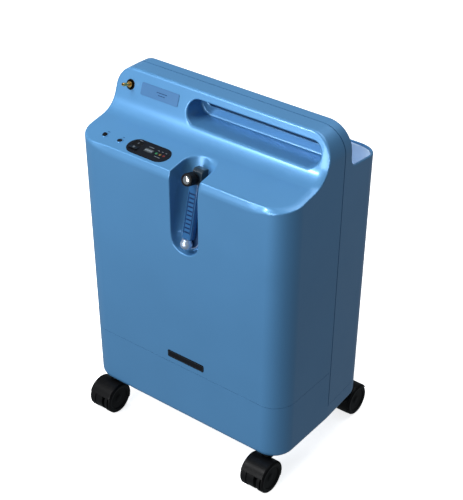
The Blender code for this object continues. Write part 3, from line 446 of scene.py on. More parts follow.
PEARL = surface("pearl_blue", (0.080, 0.245, 0.480), 0.38, 0.40, vary=0.03, patch=5.0, grain=1600.0,
                bump=0.06, Coat_Weight=0.25, Coat_Roughness=0.16)
BLACK = surface("satin_black", (0.0045, 0.0045, 0.005), 0.40, vary=0.2, bump=0.10, wear=0.01,
                Specular_IOR_Level=0.12)
PANEL = surface("panel_black", (0.006, 0.007, 0.010), 0.30, vary=0.15, grain=1400.0, bump=0.05,
                Specular_IOR_Level=0.10)
TYRE = surface("tyre_black", (0.0045, 0.0045, 0.005), 0.46, vary=0.25, grain=700.0, bump=0.18,
               Specular_IOR_Level=0.12)
GREY = surface("grey_plastic", (0.012, 0.024, 0.038), 0.30, vary=0.08, bump=0.08, wear=0.10,
               Specular_IOR_Level=0.35)
LABEL = surface("label_film", (0.036, 0.125, 0.275), 0.42, vary=0.03, bump=0.02)
BRASS = surface("brass", (0.70, 0.45, 0.14), 0.24, 1.0, vary=0.08, patch=120.0, bump=0.05, wear=0.2)
CHROME = surface("chrome", (0.86, 0.87, 0.89), 0.06, 1.0, vary=0.02, spread=0.03, bump=0.01)
SATIN = surface("satin_nickel", (0.46, 0.56, 0.72), 0.30, 0.75, vary=0.05, patch=90.0, bump=0.04)
STEEL = surface("steel", (0.50, 0.51, 0.53), 0.30, 1.0, vary=0.06, patch=60.0, bump=0.06)
ALLOY = surface("cast_alloy", (0.56, 0.57, 0.59), 0.42, 1.0, vary=0.07, patch=40.0, grain=500.0,
                bump=0.25)
ACRYLIC = surface("clear_acrylic", (0.030, 0.130, 0.320), 0.08, vary=0.04, bump=0.01, spread=0.03,
                  Transmission_Weight=0.30, IOR=1.49)
# painted light: pale colour for the sheet over the rear pocket's walls, standing in for the light that
# falls into the pocket
POCKET_PAINTED_LIGHT = surface("pocket_painted_light", (0.50, 0.65, 0.84), 0.55, vary=0.03, bump=0.05)
INK = surface("scale_ink", (0.006, 0.020, 0.070), 0.55, vary=0.1, bump=0.02,
              Specular_IOR_Level=0.06)
NAVY = surface("navy_plate", (0.012, 0.045, 0.125), 0.34, vary=0.08, bump=0.04)
MARK = surface("pale_marks", (0.15, 0.175, 0.20), 0.45, vary=0.04, bump=0.02)
GREEN = surface("green_lens", (0.02, 0.13, 0.05), 0.16, vary=0.05, patch=300.0, bump=0.02)
AMBER = surface("amber_lens", (0.13, 0.075, 0.012), 0.16, vary=0.05, patch=300.0, bump=0.02)
RED = surface("red_lens", (0.10, 0.012, 0.010), 0.16, vary=0.05, patch=300.0, bump=0.02)
LCD = surface("counter_window", (0.045, 0.055, 0.060), 0.18, vary=0.08, patch=200.0, bump=0.01)
FOAM = surface("filter_foam", (0.045, 0.045, 0.050), 0.95, vary=0.4, patch=300.0, grain=420.0, bump=0.9)
BOARD = surface("board_green", (0.03, 0.16, 0.07), 0.45, vary=0.12, patch=90.0, grain=600.0, bump=0.15)
HOSE = surface("clear_hose", (0.62, 0.66, 0.68), 0.25, vary=0.05, bump=0.04, Transmission_Weight=0.35)
MOUNT = surface("mount_rubber", (0.018, 0.018, 0.019), 0.70, vary=0.2, bump=0.3)


def piece(obj, mat, body, nodes=()):
    obj.data.materials.clear()
    obj.data.materials.append(mat)
    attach(obj, body)
    if nodes:
        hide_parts(*nodes)
    return obj


# ---- modelling helpers --------------------------------------------------------------------------
def soften(obj, width, segments=3, angle=35):
    edge = obj.modifiers.new("edges", 'BEVEL')
    edge.width = width
    edge.segments = segments
    edge.limit_method = 'ANGLE'
    edge.angle_limit = math.radians(angle)
    edge.harden_normals = True
    return obj


def from_bm(name, bm, place=Matrix.Identity(4), angle=35):
    mesh = bpy.data.meshes.new(name)
    bmesh.ops.recalc_face_normals(bm, faces=bm.faces[:])
    bm.to_mesh(mesh)
    bm.free()
    mesh.transform(place)
    mesh.shade_smooth()
    mesh.set_sharp_from_angle(angle=math.radians(angle))
    return linked(name, mesh)


def arc(centre, radius, start, end, steps):
    return [(centre[0] + radius * math.cos(math.radians(start + (end - start) * i / steps)),
             centre[1] + radius * math.sin(math.radians(start + (end - start) * i / steps)))
            for i in range(steps + 1)]


def stadium(width, height, steps=20):
    r, reach = height / 2, (width - height) / 2
    return arc((reach, 0), r, -90, 90, steps) + arc((-reach, 0), r, 90, 270, steps)


def round_rect(width, height, r, steps=6):
    x, y = width / 2 - r, height / 2 - r
    return (arc((x, -y), r, -90, 0, steps) + arc((x, y), r, 0, 90, steps)
            + arc((-x, y), r, 90, 180, steps) + arc((-x, -y), r, 180, 270, steps))


def ring(radius, steps=48):
    return arc((0, 0), radius, 0, 360 - 360 / steps, steps - 1)


def slab_bm(outline, low, high, holes=()):
    """A flat outline, with holes, as a solid between two heights."""
    bm = bmesh.new()
    edges = []
    for loop in (outline, *holes):
        verts = [bm.verts.new((u, v, high)) for u, v in loop]
        edges += [bm.edges.new((a, b)) for a, b in zip(verts, verts[1:] + verts[:1])]
    bmesh.ops.triangle_fill(bm, edges=edges, use_beauty=True, use_dissolve=False,
                            normal=(0, 0, 1))
    top = bm.faces[:]
    made = bmesh.ops.extrude_face_region(bm, geom=top)["geom"]
    for part in made:
        if isinstance(part, bmesh.types.BMVert):
            part.co.z = low
    return bm


def slab(name, outline, low, high, place, holes=(), bevel=0.0, segments=3):
    obj = from_bm(name, slab_bm(outline, low, high, holes), place)
    return soften(obj, bevel, segments) if bevel else obj


def moved(outline, du, dv):
    return [(u + du, v + dv) for u, v in outline]


def turned_bm(profile, steps):
    """A profile of (radius, height) points turned about Z; radius 0 at an end closes it."""
    bm = bmesh.new()
    rows = []
    for r, z in profile:
        if r < 1e-7:
            rows.append([bm.verts.new((0, 0, z))])
        else:
            rows.append([bm.verts.new((r * math.cos(2 * math.pi * i / steps),
                                       r * math.sin(2 * math.pi * i / steps), z))
                         for i in range(steps)])
    pairs = list(zip(rows, rows[1:]))
    if len(rows[0]) > 1 and len(rows[-1]) > 1:
        pairs.append((rows[-1], rows[0]))
    for a, b in pairs:
        for i in range(steps):
            j = (i + 1) % steps
            corners = [a[i % len(a)], a[j % len(a)], b[j % len(b)], b[i % len(b)]]
            unique = list(dict.fromkeys(corners))
            if len(unique) > 2:
                bm.faces.new(unique)
    return bm


def turned(name, profile, place=Matrix.Identity(4), steps=64, bevel=0.0, segments=2):
    obj = from_bm(name, turned_bm(profile, steps), place)
    return soften(obj, bevel, segments, 25) if bevel else obj


def wire(name, points, radius, place):
    """A round wire through the points."""
    curve = bpy.data.curves.new(name, 'CURVE')
    curve.dimensions = '3D'
    curve.bevel_depth = radius
    curve.bevel_resolution = 3
    curve.use_fill_caps = True
    line = curve.splines.new('POLY')
    line.points.add(len(points) - 1)
    for knot, point in zip(line.points, points):
        knot.co = (*point, 1.0)
    obj = linked(name + "_line", curve)
    bpy.context.view_layer.update()
    mesh = baked(obj)
    mesh.transform(place)
    mesh.shade_smooth()
    return linked(name, mesh)


def joined(name, objects):
    """Objects' evaluated meshes in one, in the row frame."""
    bm = bmesh.new()
    for obj in objects:
        mesh = baked(obj)
        bm.from_mesh(mesh)
    mesh = bpy.data.meshes.new(name)
    bm.to_mesh(mesh)
    bm.free()
    return linked(name, mesh)


def plane_frame(node, point, turn):
    """Frame under a node's middle on the plane through point that turn sets upright."""
    normal = turn.to_3x3() @ Vector((0, 0, 1))
    centre = mid(node)
    foot = centre - normal * normal.dot(centre - Vector(point))
    return Matrix.Translation(foot) @ turn


DECK = ((0, FRONT_Y, DECK_Z), Matrix.Rotation(math.atan(DECK_RISE), 4, 'X'))
FACE = ((0, HEAD_FACE_Y, HEAD_FACE_Z),
        Matrix.Rotation(math.radians(90) - math.atan(HEAD_LEAN), 4, 'X'))
FRONT = ((0, -BASE_D / 2, BASE_Z), Matrix.Rotation(math.radians(90) + math.atan(DRAFT_Y), 4, 'X'))
BACK = ((0, BASE_D / 2, BASE_Z), Matrix.Rotation(math.radians(90) - math.atan(DRAFT_Y), 4, 'X'))


def shift(x, y, z):
    return Matrix.Translation((x, y, z))


# stands a side profile of (depth, height) upright, with its thickness across
SIDE_ON = Matrix(((0, 0, 1, 0), (1, 0, 0, 0), (0, 1, 0, 0), (0, 0, 0, 1)))


panel_at = plane_frame("control_panel", *DECK)
reset_at = plane_frame("reset_button", *DECK)
lens_at = plane_frame("indicator_lens", *DECK)
label_at = plane_frame("label_plate", *FACE)
outlet_at = plane_frame("outlet_cup", *FACE)
badge_at = plane_frame("badge_plate", *FRONT)
door_at = plane_frame("intake_filter", *BACK)
grille_at = plane_frame("exhaust_grille", *BACK)
inlet_at = plane_frame("mains_inlet", *BACK)

# ---- housing skins ------------------------------------------------------------------------------
edge = 0.006
low = (-BASE_W / 2 - 0.010 - edge, -BASE_D / 2 - 0.005 - edge, BASE_Z - LIP - edge)
high = (BASE_W / 2 + 0.010 + edge, BASE_D / 2 + 0.005 + edge, HEIGHT + edge)
outer_mesh = field_mesh("outer", housing, low, high, 0.0018,
                        0.22)
core_mesh = field_mesh("core", core, low, high, 0.0040, 0.25)


def tool_box(name, low_corner, high_corner):
    centre = (Vector(low_corner) + Vector(high_corner)) / 2
    size = Vector(high_corner) - Vector(low_corner)
    bm = bmesh.new()
    bmesh.ops.create_cube(bm, size=1.0, matrix=Matrix.Translation(centre)
                          @ Matrix.Diagonal((*size, 1.0)))
    return from_bm(name, bm)


FAR, ABOVE = 0.3, 0.7         # tool boxes reach past the housing
core_tool = linked("core_tool", core_mesh)
front_box = tool_box("front_box", (-FAR, -FAR, PAN_FRONT_Z + PAN_GAP),
                     (FAR, SEAM_Y - SEAM_GAP / 2, ABOVE))
rear_box = tool_box("rear_box", (-FAR, SEAM_Y + SEAM_GAP / 2, PAN_REAR_Z + PAN_GAP),
                    (FAR, FAR, ABOVE))
pan_front = tool_box("pan_front", (-FAR, -FAR, 0.0), (FAR, SEAM_Y - SEAM_GAP / 2, PAN_FRONT_Z))
pan_rear = tool_box("pan_rear", (-FAR, -0.29, -0.01), (FAR, FAR, PAN_REAR_Z))
pan_tool = cut(linked("pan_tool", pan_front.data.copy()), pan_rear, 'UNION')
tools = [core_tool, front_box, rear_box, pan_front, pan_rear, pan_tool]


def hole_tool(name, outline, place, low_z=-0.02, high_z=0.02):
    made = slab(name, outline, low_z, high_z, place)
    tools.append(made)
    return made


CLEAR = 0.0003
PANEL_SIZE = (0.078, 0.033)
BUTTON_R = 0.0038
CUP_R = 0.0080
BADGE = (0.071, 0.0125)
DOOR, GRILLE, INLET = (0.110, 0.120), (0.170, 0.060), (0.050, 0.030)
front_holes = [
    hole_tool("panel_hole", stadium(*PANEL_SIZE), panel_at),
    hole_tool("reset_hole", ring(BUTTON_R + CLEAR), reset_at),
    hole_tool("lens_hole", ring(BUTTON_R + CLEAR), lens_at),
    hole_tool("cup_hole", ring(CUP_R + CLEAR, 64), outlet_at, -0.012, 0.02),
    hole_tool("badge_seat", round_rect(BADGE[0] + 2 * CLEAR, BADGE[1] + 2 * CLEAR, 0.0028),
              badge_at, -0.0015, 0.01),
]
rear_holes = [
    hole_tool("door_hole", round_rect(*DOOR, 0.004), door_at),
    hole_tool("grille_hole", round_rect(*GRILLE, 0.004), grille_at),
    hole_tool("inlet_hole", round_rect(*INLET, 0.004), inlet_at),
]
CORNERS = {"fl": (-1, -1), "fr": (1, -1), "rl": (-1, 1), "rr": (1, 1)}
SOCKET_R = STEM_R + 0.0005
sockets = [hole_tool("socket_" + tag, ring(SOCKET_R), shift(sx * CASTER_X, sy * CASTER_Y, 0), 0.0,
                     BASE_Z + 0.012) for tag, (sx, sy) in CORNERS.items()]


def skin(name, region, holes, node):
    obj = linked(name, outer_mesh.copy())
    cut(obj, core_tool)
    cut(obj, region, 'INTERSECT')
    for hole in holes:
        cut(obj, hole)
    bpy.context.view_layer.update()
    made = linked(name, true_normals(baked(obj), housing))
    return piece(made, PEARL, "housing", [node])


skin("housing_front", front_box, front_holes, "front_shell")
skin("housing_rear", rear_box, rear_holes, "rear_shell")
skin("base_tray", pan_tool, sockets, "base_pan")
for tool in tools:
    bpy.data.objects.remove(tool, do_unlink=True)

# a pale sheet covers the walls of the rear pocket: painted light, its pale colour stands in for the
# light that falls into the pocket
SHEET_GAP, SHEET_WALL, SHEET_CELL = 0.0002, 0.0012, 0.0026
light_sheet_box = ((low[0], HEAD_BACK_Y - 0.006, TROUGH_FLOOR_Z - 0.006), (high[0], high[1], HEIGHT))


def light_sheet_form(x, y, z):
    return round_and(pocket(x, y, z, SHEET_GAP), rim_plane(y, z)[0] + 0.0030, 0.0004)


def light_sheet_room(x, y, z):
    return np.maximum(pocket(x, y, z, SHEET_GAP + SHEET_WALL), z - HEIGHT + 0.030)


light_sheet_mesh = field_mesh("light_sheet", light_sheet_form, *light_sheet_box, SHEET_CELL, 0.3)
room_mesh = field_mesh("light_sheet_room", light_sheet_room, *light_sheet_box, SHEET_CELL, 0.3)
light_sheet, room = linked("pocket_painted_light", light_sheet_mesh), linked("light_sheet_room", room_mesh)
cut(light_sheet, room)
bpy.context.view_layer.update()
light_sheet = linked("pocket_light_sheet", baked(light_sheet))
bpy.data.objects.remove(room, do_unlink=True)
piece(light_sheet, POCKET_PAINTED_LIGHT, "housing")

# ---- casters ------------------------------------------------------------------------------------
hood_mesh = field_mesh("caster_hood", hood, (-0.025, -TRAIL - 0.032, -0.002),
                       (0.025, 0.014, BASE_Z + 0.021), 0.0008, 0.30)
hood_mesh = true_normals(hood_mesh, hood, 0.0001)
CASTER_W = 0.044
half = CASTER_W / 2
inner = HALF_DRUM + 0.0006
face = [(0.0, half - 0.0020), (0.0060, half - 0.0022), (0.0068, half - 0.0028),
        (0.0076, half - 0.0032), (0.0170, half - 0.0022), (0.0182, half - 0.0024),
        (0.0190, half - 0.0012)]
shoulder = arc((WHEEL_R - 0.0034, half - 0.0034), 0.0034, 84, 4, 10)
groove_r = WHEEL_R - 0.0036
groove = [(WHEEL_R, 0.0184), (groove_r, 0.0181), (groove_r, 0.0157), (WHEEL_R, 0.0154)]
tread = [(WHEEL_R, (half + inner) / 2), (WHEEL_R, inner + 0.0016)]
hub_side = (arc((WHEEL_R - 0.0012, inner + 0.0012), 0.0012, 0, -90, 4)
            + [(0.0031, inner), (0.0031, 0.0188), (0.0, 0.0188)])


def wheel(name, grooves):
    made = bpy.data.meshes.new(name)
    bm = turned_bm(face + shoulder + grooves + tread + hub_side, 72)
    bmesh.ops.recalc_face_normals(bm, faces=bm.faces[:])
    bm.to_mesh(made)
    bm.free()
    made.shade_smooth()
    made.set_sharp_from_angle(angle=math.radians(38))
    return made


wheels = {"l": wheel("wheel_plain", []), "r": wheel("wheel_grooved", groove)}
for tag, (sx, sy) in CORNERS.items():
    turn = Matrix.Identity(4) if sy < 0 else Matrix.Rotation(math.pi, 4, 'Z')
    body = linked("caster_" + tag, hood_mesh.copy())
    body.matrix_world = Matrix.Translation((sx * CASTER_X, sy * CASTER_Y, 0)) @ turn
    piece(body, BLACK, "caster_" + tag, ["caster_hood_" + tag])
    axle_at = Matrix.Translation(mid("caster_axle_" + tag)) @ Matrix.Rotation(math.pi / 2, 4, 'Y')
    long = span("caster_axle_" + tag).x / 2
    piece(turned("axle_" + tag, [(0.0, long), (0.0022, long), (0.0030, long - 0.0007),
                                 (0.0030, 0.0007 - long), (0.0022, -long), (0.0, -long)], axle_at, 40),
          STEEL, "caster_" + tag, ["caster_axle_" + tag])
    for side, sign in (("l", -1), ("r", 1)):
        name = f"caster_wheel_{tag}_{side}"
        centre = mid("caster_axle_" + tag)
        made = linked(f"wheel_{tag}_{side}", wheels[side].copy())
        made.matrix_world = Matrix.Translation(centre) @ Matrix.Rotation(sign * math.pi / 2, 4, 'Y')
        piece(made, TYRE, name, [name])

# ---- control panel ------------------------------------------------------------------------------
ROCKER, ROCKER_U = (0.0150, 0.0190), -0.0240
WINDOW, WINDOW_U = (0.0160, 0.0080), 0.0
LAMPS = (("green", GREEN, 0.0145), ("amber", AMBER, 0.0215), ("red", RED, 0.0285))
holes = [moved(round_rect(ROCKER[0] + 0.0006, ROCKER[1] + 0.0012, 0.0010, 4), ROCKER_U, 0),
         moved(round_rect(*WINDOW, 0.0012, 5), WINDOW_U, 0)]
holes += [moved(ring(0.0024, 32), u, 0) for _, _, u in LAMPS]
piece(slab("control_fascia", stadium(PANEL_SIZE[0] - 0.0006, PANEL_SIZE[1] - 0.0006, 32), -0.0036,
           0.0006, panel_at, holes, 0.0004, 2), PANEL, "housing", ["control_panel"])
marks = []
for u, v, w, h in ((-0.0240, 0.0125, 0.0060, 0.0008), (0.0, 0.0072, 0.0090, 0.0007),
                   (0.0145, 0.0062, 0.0030, 0.0007), (0.0215, 0.0062, 0.0030, 0.0007),
                   (0.0285, 0.0062, 0.0030, 0.0007), (0.0215, -0.0070, 0.0110, 0.0006)):
    marks.append(slab(f"mark_{len(marks)}", moved(round_rect(w, h, h * 0.4, 3), u, v), 0.0005, 0.00072,
                      panel_at))
piece(joined("panel_marks", marks), MARK, "housing")

rocker_side = (arc((0, 0.0330), 0.0332, -106.2, -73.8, 10)
               + [(ROCKER[1] / 2 - 0.0008, -0.0030), (0.0, -0.0066), (-ROCKER[1] / 2 + 0.0008, -0.0030)])
rocker_bm = slab_bm(rocker_side, -ROCKER[0] / 2, ROCKER[0] / 2)
rocker_at = panel_at @ shift(ROCKER_U, 0, 0.0006) @ Matrix.Rotation(math.radians(-7), 4, 'X')
rocker = soften(from_bm("rocker", rocker_bm, rocker_at @ SIDE_ON, 25), 0.0004, 2)
piece(rocker, BLACK, "power_rocker", ["power_rocker"])
on_mark = slab("rocker_dash", round_rect(0.0008, 0.0030, 0.0003, 3), 0.0005, 0.00125,
               rocker_at @ shift(0, 0.0055, 0))
off_mark = slab("rocker_ring", ring(0.0017, 32), 0.0005, 0.00125, rocker_at @ shift(0, -0.0052, 0),
                [ring(0.0011, 32)[::-1]])
piece(joined("rocker_marks", [on_mark, off_mark]), MARK, "power_rocker")

piece(slab("counter", round_rect(WINDOW[0] - 0.0006, WINDOW[1] - 0.0006, 0.0010, 5), -0.0033, 0.0001,
           panel_at @ shift(WINDOW_U, 0, 0), (), 0.0003, 2), LCD, "housing",
      ["hour_meter"])
digits = [slab(f"digit_{i}", round_rect(0.0014, 0.0030, 0.0003, 3), 0.0000, 0.00022,
               panel_at @ shift(WINDOW_U + (i - 2.5) * 0.0022, 0, 0)) for i in range(6)]
piece(joined("counter_digits", digits), MARK, "housing")
for lamp, mat, u in LAMPS:
    dome = [(0.0, 0.0008)] + [(0.0021 * math.sin(a), 0.0002 + 0.0006 * math.cos(a))
                              for a in (0.4, 0.8, 1.2, 1.5)] + [(0.0021, -0.0030), (0.0, -0.0030)]
    piece(turned("lamp_dome_" + lamp, dome, panel_at @ shift(u, 0, 0), 40), mat, "housing",
          ["lamp_" + lamp])

# two small round controls left of the panel, each in a shallow collar
button = [(0.0, 0.0016), (0.0020, 0.0017), (0.0027, 0.0021), (0.0033, 0.0021), (0.0037, 0.0016),
          (0.0038, 0.0008), (0.0038, -0.0060), (0.0, -0.0060)]
piece(turned("reset_cap", button, reset_at, 48), BLACK, "reset_button",
      ["reset_button"])
lens = [(0.0, 0.0011), (0.0014, 0.0010), (0.0026, 0.0007), (0.0035, 0.0002), (0.0038, -0.0003),
        (0.0038, -0.0040), (0.0, -0.0040)]
piece(turned("indicator_dome", lens, lens_at, 48), PANEL, "housing",
      ["indicator_lens"])
collar = [(0.0042, 0.0006), (0.0050, 0.0006), (0.0054, 0.0002), (0.0054, -0.0002), (0.0042, -0.0002)]
collars = [turned("collar_a", collar, reset_at, 48), turned("collar_b", collar, lens_at, 48)]
piece(joined("control_collars", collars), PEARL, "housing")
small = [slab("tick_a", round_rect(0.0046, 0.0007, 0.0003, 3), -0.0001, 0.0002,
              reset_at @ shift(0.0010, 0.0085, 0)),
         slab("tick_b", round_rect(0.0036, 0.0007, 0.0003, 3), -0.0001, 0.0002,
              lens_at @ shift(0.0010, 0.0085, 0))]
piece(joined("control_ticks", small), INK, "housing")

# label, badge and outlet
piece(slab("label_film", round_rect(0.072, 0.019, 0.0025, 8), 0.0003, 0.0008, label_at, (), 0.0002, 2),
      LABEL, "housing", ["label_plate"])
bars = [slab(f"bar_{i}", round_rect(w, 0.0009, 0.0003, 3), 0.0007, 0.0009,
             label_at @ shift(u, v, 0)) for i, (u, v, w) in
        enumerate(((0.004, 0.0018, 0.020), (0.004, -0.0022, 0.013)))]
piece(joined("label_bars", bars), INK, "housing")
piece(slab("badge", round_rect(*BADGE, 0.0025, 8), -0.0011, 0.0005, badge_at, (), 0.0004, 3),
      PANEL, "housing", ["badge_plate"])
frame_line = slab("badge_frame", round_rect(BADGE[0] - 0.0030, BADGE[1] - 0.0030, 0.0015, 6), 0.0004,
                  0.00066, badge_at, [round_rect(BADGE[0] - 0.0038, BADGE[1] - 0.0038, 0.0012, 6)[::-1]])
piece(joined("badge_line", [frame_line]), GREY, "housing")
cup = [(CUP_R - 0.0012, 0.0003), (CUP_R - 0.0007, 0.0005), (CUP_R, 0.0002), (CUP_R, -0.0112),
       (0.0036, -0.0112), (0.0036, -0.0100), (CUP_R - 0.0026, -0.0100), (CUP_R - 0.0014, -0.0088)]
piece(turned("outlet_dish", cup, outlet_at, 64), BLACK, "housing", ["outlet_cup"])
barb = [(0.0012, 0.0190), (0.0020, 0.0190), (0.0023, 0.0187)]
for step in range(3):
    top = 0.0182 - step * 0.0034
    barb += [(0.0029, top - 0.0022), (0.00285, top - 0.0024), (0.0023, top - 0.0026)]
barb += [(0.0023, 0.0030), (0.0044, 0.0030), (0.0048, 0.0026), (0.0048, -0.0016), (0.0044, -0.0020),
         (0.0033, -0.0026), (0.0033, -0.0160), (0.0012, -0.0160)]
piece(turned("outlet_spigot", barb, outlet_at, 48), BRASS, "housing", ["outlet_barb"])

# ---- flow meter ---------------------------------------------------------------------------------
TUBE_W, TUBE_D, TUBE_H = 0.0165, 0.0125, 0.0800
KNOB_UP = 0.0955
KNOB_R, KNOB_BACK, KNOB_FRONT = 0.0098, 0.0096, 0.0280
UPRIGHT = Matrix.Rotation(math.radians(90), 4, 'X')
TUBE_SET = 0.0010             # the tube stands this far in front of the meter's own axis
TUBE_EXTRA = 0.0060           # and runs this far up behind the knob
meter_at = (Matrix.Translation(mid("meter_tube")) @ Matrix.Rotation(-METER_LEAN, 4, 'X')
            @ shift(0, TUBE_SET, -TUBE_H / 2))
plate_top, plate_r = 0.0115, 0.0160      # half width at the top, radius at the foot
plate_side = (arc((0, 0), plate_r, 180, 360, 24)
              + [(plate_top, TUBE_H + 0.0004), (-plate_top, TUBE_H + 0.0004)])
plate = slab("meter_plate", plate_side, -0.0066, -0.0056, meter_at @ UPRIGHT, (), 0.0004, 2)
piece(plate, NAVY, "housing", ["meter_backplate"])
# a thin bezel wire round the back plate in pale satin metal: the wire is the bezel's raised edge, and
# its pale colour is a painted highlight along that edge
rim_path = ([(-plate_top, TUBE_H)] + arc((0, 0), plate_r, 180, 360, 24) + [(plate_top, TUBE_H)])
rim = wire("meter_rim_painted_highlight", [(u, 0.0056, v) for u, v in rim_path], 0.0008, meter_at)
piece(rim, SATIN, "housing")
tube_outline = round_rect(TUBE_W, TUBE_D, 0.0018, 8)
piece(slab("meter_tube_body", moved(tube_outline, 0, -TUBE_SET), 0.0, TUBE_H + TUBE_EXTRA, meter_at,
           [moved(ring(0.0042, 48), 0, -TUBE_SET)[::-1]], 0.0004, 2),
      ACRYLIC, "housing", ["meter_tube"])
scale = []
tube_front = meter_at @ shift(0, -TUBE_SET - TUBE_D / 2, 0) @ UPRIGHT
RUNGS, RUNG_STEP, RUNG_START = 10, 0.0066, 0.0110
for i in range(RUNGS):
    rung = moved(round_rect(0.0090, 0.0022, 0.0005, 3), 0, RUNG_START + i * RUNG_STEP)
    scale.append(slab(f"rung_{i}", rung, -0.0001, 0.00016, tube_front))
for side in (-1, 1):
    rail = moved(round_rect(0.0013, 0.0640, 0.0003, 3), side * 0.0058,
                 RUNG_START + (RUNGS - 1) * RUNG_STEP / 2)
    scale.append(slab(f"rail_{side}", rail, -0.0001, 0.00016, tube_front))
piece(joined("meter_scale", scale), INK, "housing")
head_z = TUBE_H + 0.0003 + 0.0150
head_side = [(-0.0090, -0.0086), (0.0060, -0.0086), (0.0060, 0.0150), (-0.0050, 0.0150),
             (-0.0090, 0.0110)]
meter_head = soften(from_bm("meter_head_block", slab_bm(head_side, -0.0050, 0.0128),
                            meter_at @ shift(0, 0, head_z) @ SIDE_ON, 25), 0.0010, 3)
piece(meter_head, GREY, "housing", ["meter_head"])
foot = [(0.0, -0.0003), (0.0066, -0.0003), (0.0072, -0.0009), (0.0074, -0.0020), (0.0068, -0.0028),
        (0.0074, -0.0036), (0.0087, -0.0052), (0.0092, -0.0082), (0.0087, -0.0112), (0.0072, -0.0138),
        (0.0048, -0.0153), (0.0, -0.0158)]
piece(turned("meter_foot_nut", foot, meter_at @ shift(0, -0.0038, 0), 64), SATIN, "housing",
      ["meter_foot"])
ball_bm = bmesh.new()
bmesh.ops.create_uvsphere(ball_bm, u_segments=32, v_segments=20, radius=0.0040)
for vert in ball_bm.verts:
    r = math.hypot(vert.co.x, vert.co.y)
    if abs(vert.co.z) < 0.0006:
        vert.co.x *= 1 - 0.0002 / max(r, 1e-6)
        vert.co.y *= 1 - 0.0002 / max(r, 1e-6)
ball = from_bm("float_ball", ball_bm, Matrix.Translation(mid("meter_float"))
               @ Matrix.Rotation(-METER_LEAN, 4, 'X'), 60)
piece(ball, STEEL, "meter_float", ["meter_float"])

knob_at = meter_at @ shift(0, 0, KNOB_UP) @ UPRIGHT
knob_profile = [(0.0, KNOB_FRONT - 0.0030), (0.0067, KNOB_FRONT - 0.0030), (0.0067, KNOB_FRONT - 0.0006),
                (0.0071, KNOB_FRONT - 0.0004), (0.0084, KNOB_FRONT - 0.0004),
                (0.0092, KNOB_FRONT - 0.0008), (KNOB_R, KNOB_FRONT - 0.0022)]
knob_profile += [(KNOB_R, KNOB_BACK + 0.0030 + (KNOB_FRONT - KNOB_BACK - 0.0055) * (1 - i / 6))
                 for i in range(7)]
knob_profile += [(0.0093, KNOB_BACK + 0.0020), (0.0082, KNOB_BACK), (0.0023, KNOB_BACK),
                 (0.0023, KNOB_BACK + 0.0080), (0.0, KNOB_BACK + 0.0080)]
knob_bm = turned_bm(knob_profile, 96)
for vert in knob_bm.verts:
    if KNOB_BACK + 0.0025 < vert.co.z < KNOB_FRONT - 0.0026:
        r = math.hypot(vert.co.x, vert.co.y)
        if r > 0.008:
            dip = 0.00045 * max(0.0, math.cos(24 * math.atan2(vert.co.y, vert.co.x)))
            vert.co.x *= (r - dip) / r
            vert.co.y *= (r - dip) / r
knob = from_bm("knob_grip", knob_bm, knob_at, 40)
piece(knob, BLACK, "flow_knob", ["flow_knob"])
cap = [(0.0, KNOB_FRONT + 0.0010), (0.0018, KNOB_FRONT + 0.0010), (0.0038, KNOB_FRONT + 0.0007),
       (0.0054, KNOB_FRONT + 0.0002), (0.0063, KNOB_FRONT - 0.0006), (0.0064, KNOB_FRONT - 0.0027),
       (0.0, KNOB_FRONT - 0.0027)]
piece(turned("knob_insert", cap, knob_at, 64), CHROME, "flow_knob", ["knob_cap"])
stem = [(0.0, KNOB_BACK + 0.0077), (0.0017, KNOB_BACK + 0.0077), (0.0020, KNOB_BACK + 0.0072),
        (0.0020, 0.0020), (0.0010, -0.0010), (0.0, -0.0010)]
piece(turned("needle_valve_stem", stem, knob_at, 40), BRASS, "flow_knob", ["valve_stem"])

# ---- rear fittings ------------------------------------------------------------------------------
DOOR_GAP = 0.0006
NOTCH_R = 0.0090
slots = [moved(stadium(0.076, 0.0036, 8), 0, -0.042 + row * 0.012) for row in range(7)]
door_outline = round_rect(DOOR[0] - 2 * DOOR_GAP, DOOR[1] - 2 * DOOR_GAP, 0.0036, 6)
top_v = DOOR[1] / 2 - DOOR_GAP
thumb = [(u, top_v - NOTCH_R * math.sqrt(1 - (u / NOTCH_R) ** 2))
         for u in np.linspace(0.0088, -0.0088, 15)]
split = [i for i, (a, b) in enumerate(zip(door_outline, door_outline[1:]))
         if a[1] > top_v - 1e-6 and b[1] > top_v - 1e-6][0]
door_outline = door_outline[:split + 1] + thumb + door_outline[split + 1:]
piece(slab("door_panel", door_outline, 0.0001, 0.0029, door_at, [s[::-1] for s in slots], 0.0006, 2),
      PEARL, "filter_door", ["filter_door"])
columns = [moved(round_rect(0.0050, 0.044, 0.0024, 5), (i - 5.5) * 0.0130, 0) for i in range(12)]
piece(slab("grille_plate", round_rect(GRILLE[0] - 0.0006, GRILLE[1] - 0.0006, 0.0036, 6), 0.0002, 0.0030,
           grille_at, [c[::-1] for c in columns], 0.0006, 2), BLACK, "housing",
      ["exhaust_grille"])

# ---- what keeps its CAD mesh --------------------------------------------------------------------
KEPT = {"intake_filter": (FOAM, "filter_foam"), "mains_inlet": (BLACK, "black_plastic"),
        "isolator_front": (MOUNT, "mount_rubber"), "isolator_rear": (MOUNT, "mount_rubber"),
        "compressor_body": (ALLOY, "alloy"), "compressor_head_l": (STEEL, "steel"),
        "compressor_head_r": (STEEL, "steel"), "sieve_bed_l": (ALLOY, "alloy"),
        "sieve_bed_r": (ALLOY, "alloy"), "valve_manifold": (ALLOY, "alloy"),
        "product_tank": (GREY, "grey_plastic"), "chassis_plate": (STEEL, "steel"),
        "fan_shroud": (BLACK, "black_plastic"), "fan_rotor": (GREY, "grey_plastic"),
        "control_board": (BOARD, "board_green"), "muffler": (BLACK, "black_plastic"),
        "cooler_coil": (STEEL, "steel"), "product_hose": (HOSE, "clear_hose")}
for node, (mat, slot_name) in KEPT.items():
    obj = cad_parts[node]
    obj.data.materials.clear()
    obj.data.materials.append(mat)

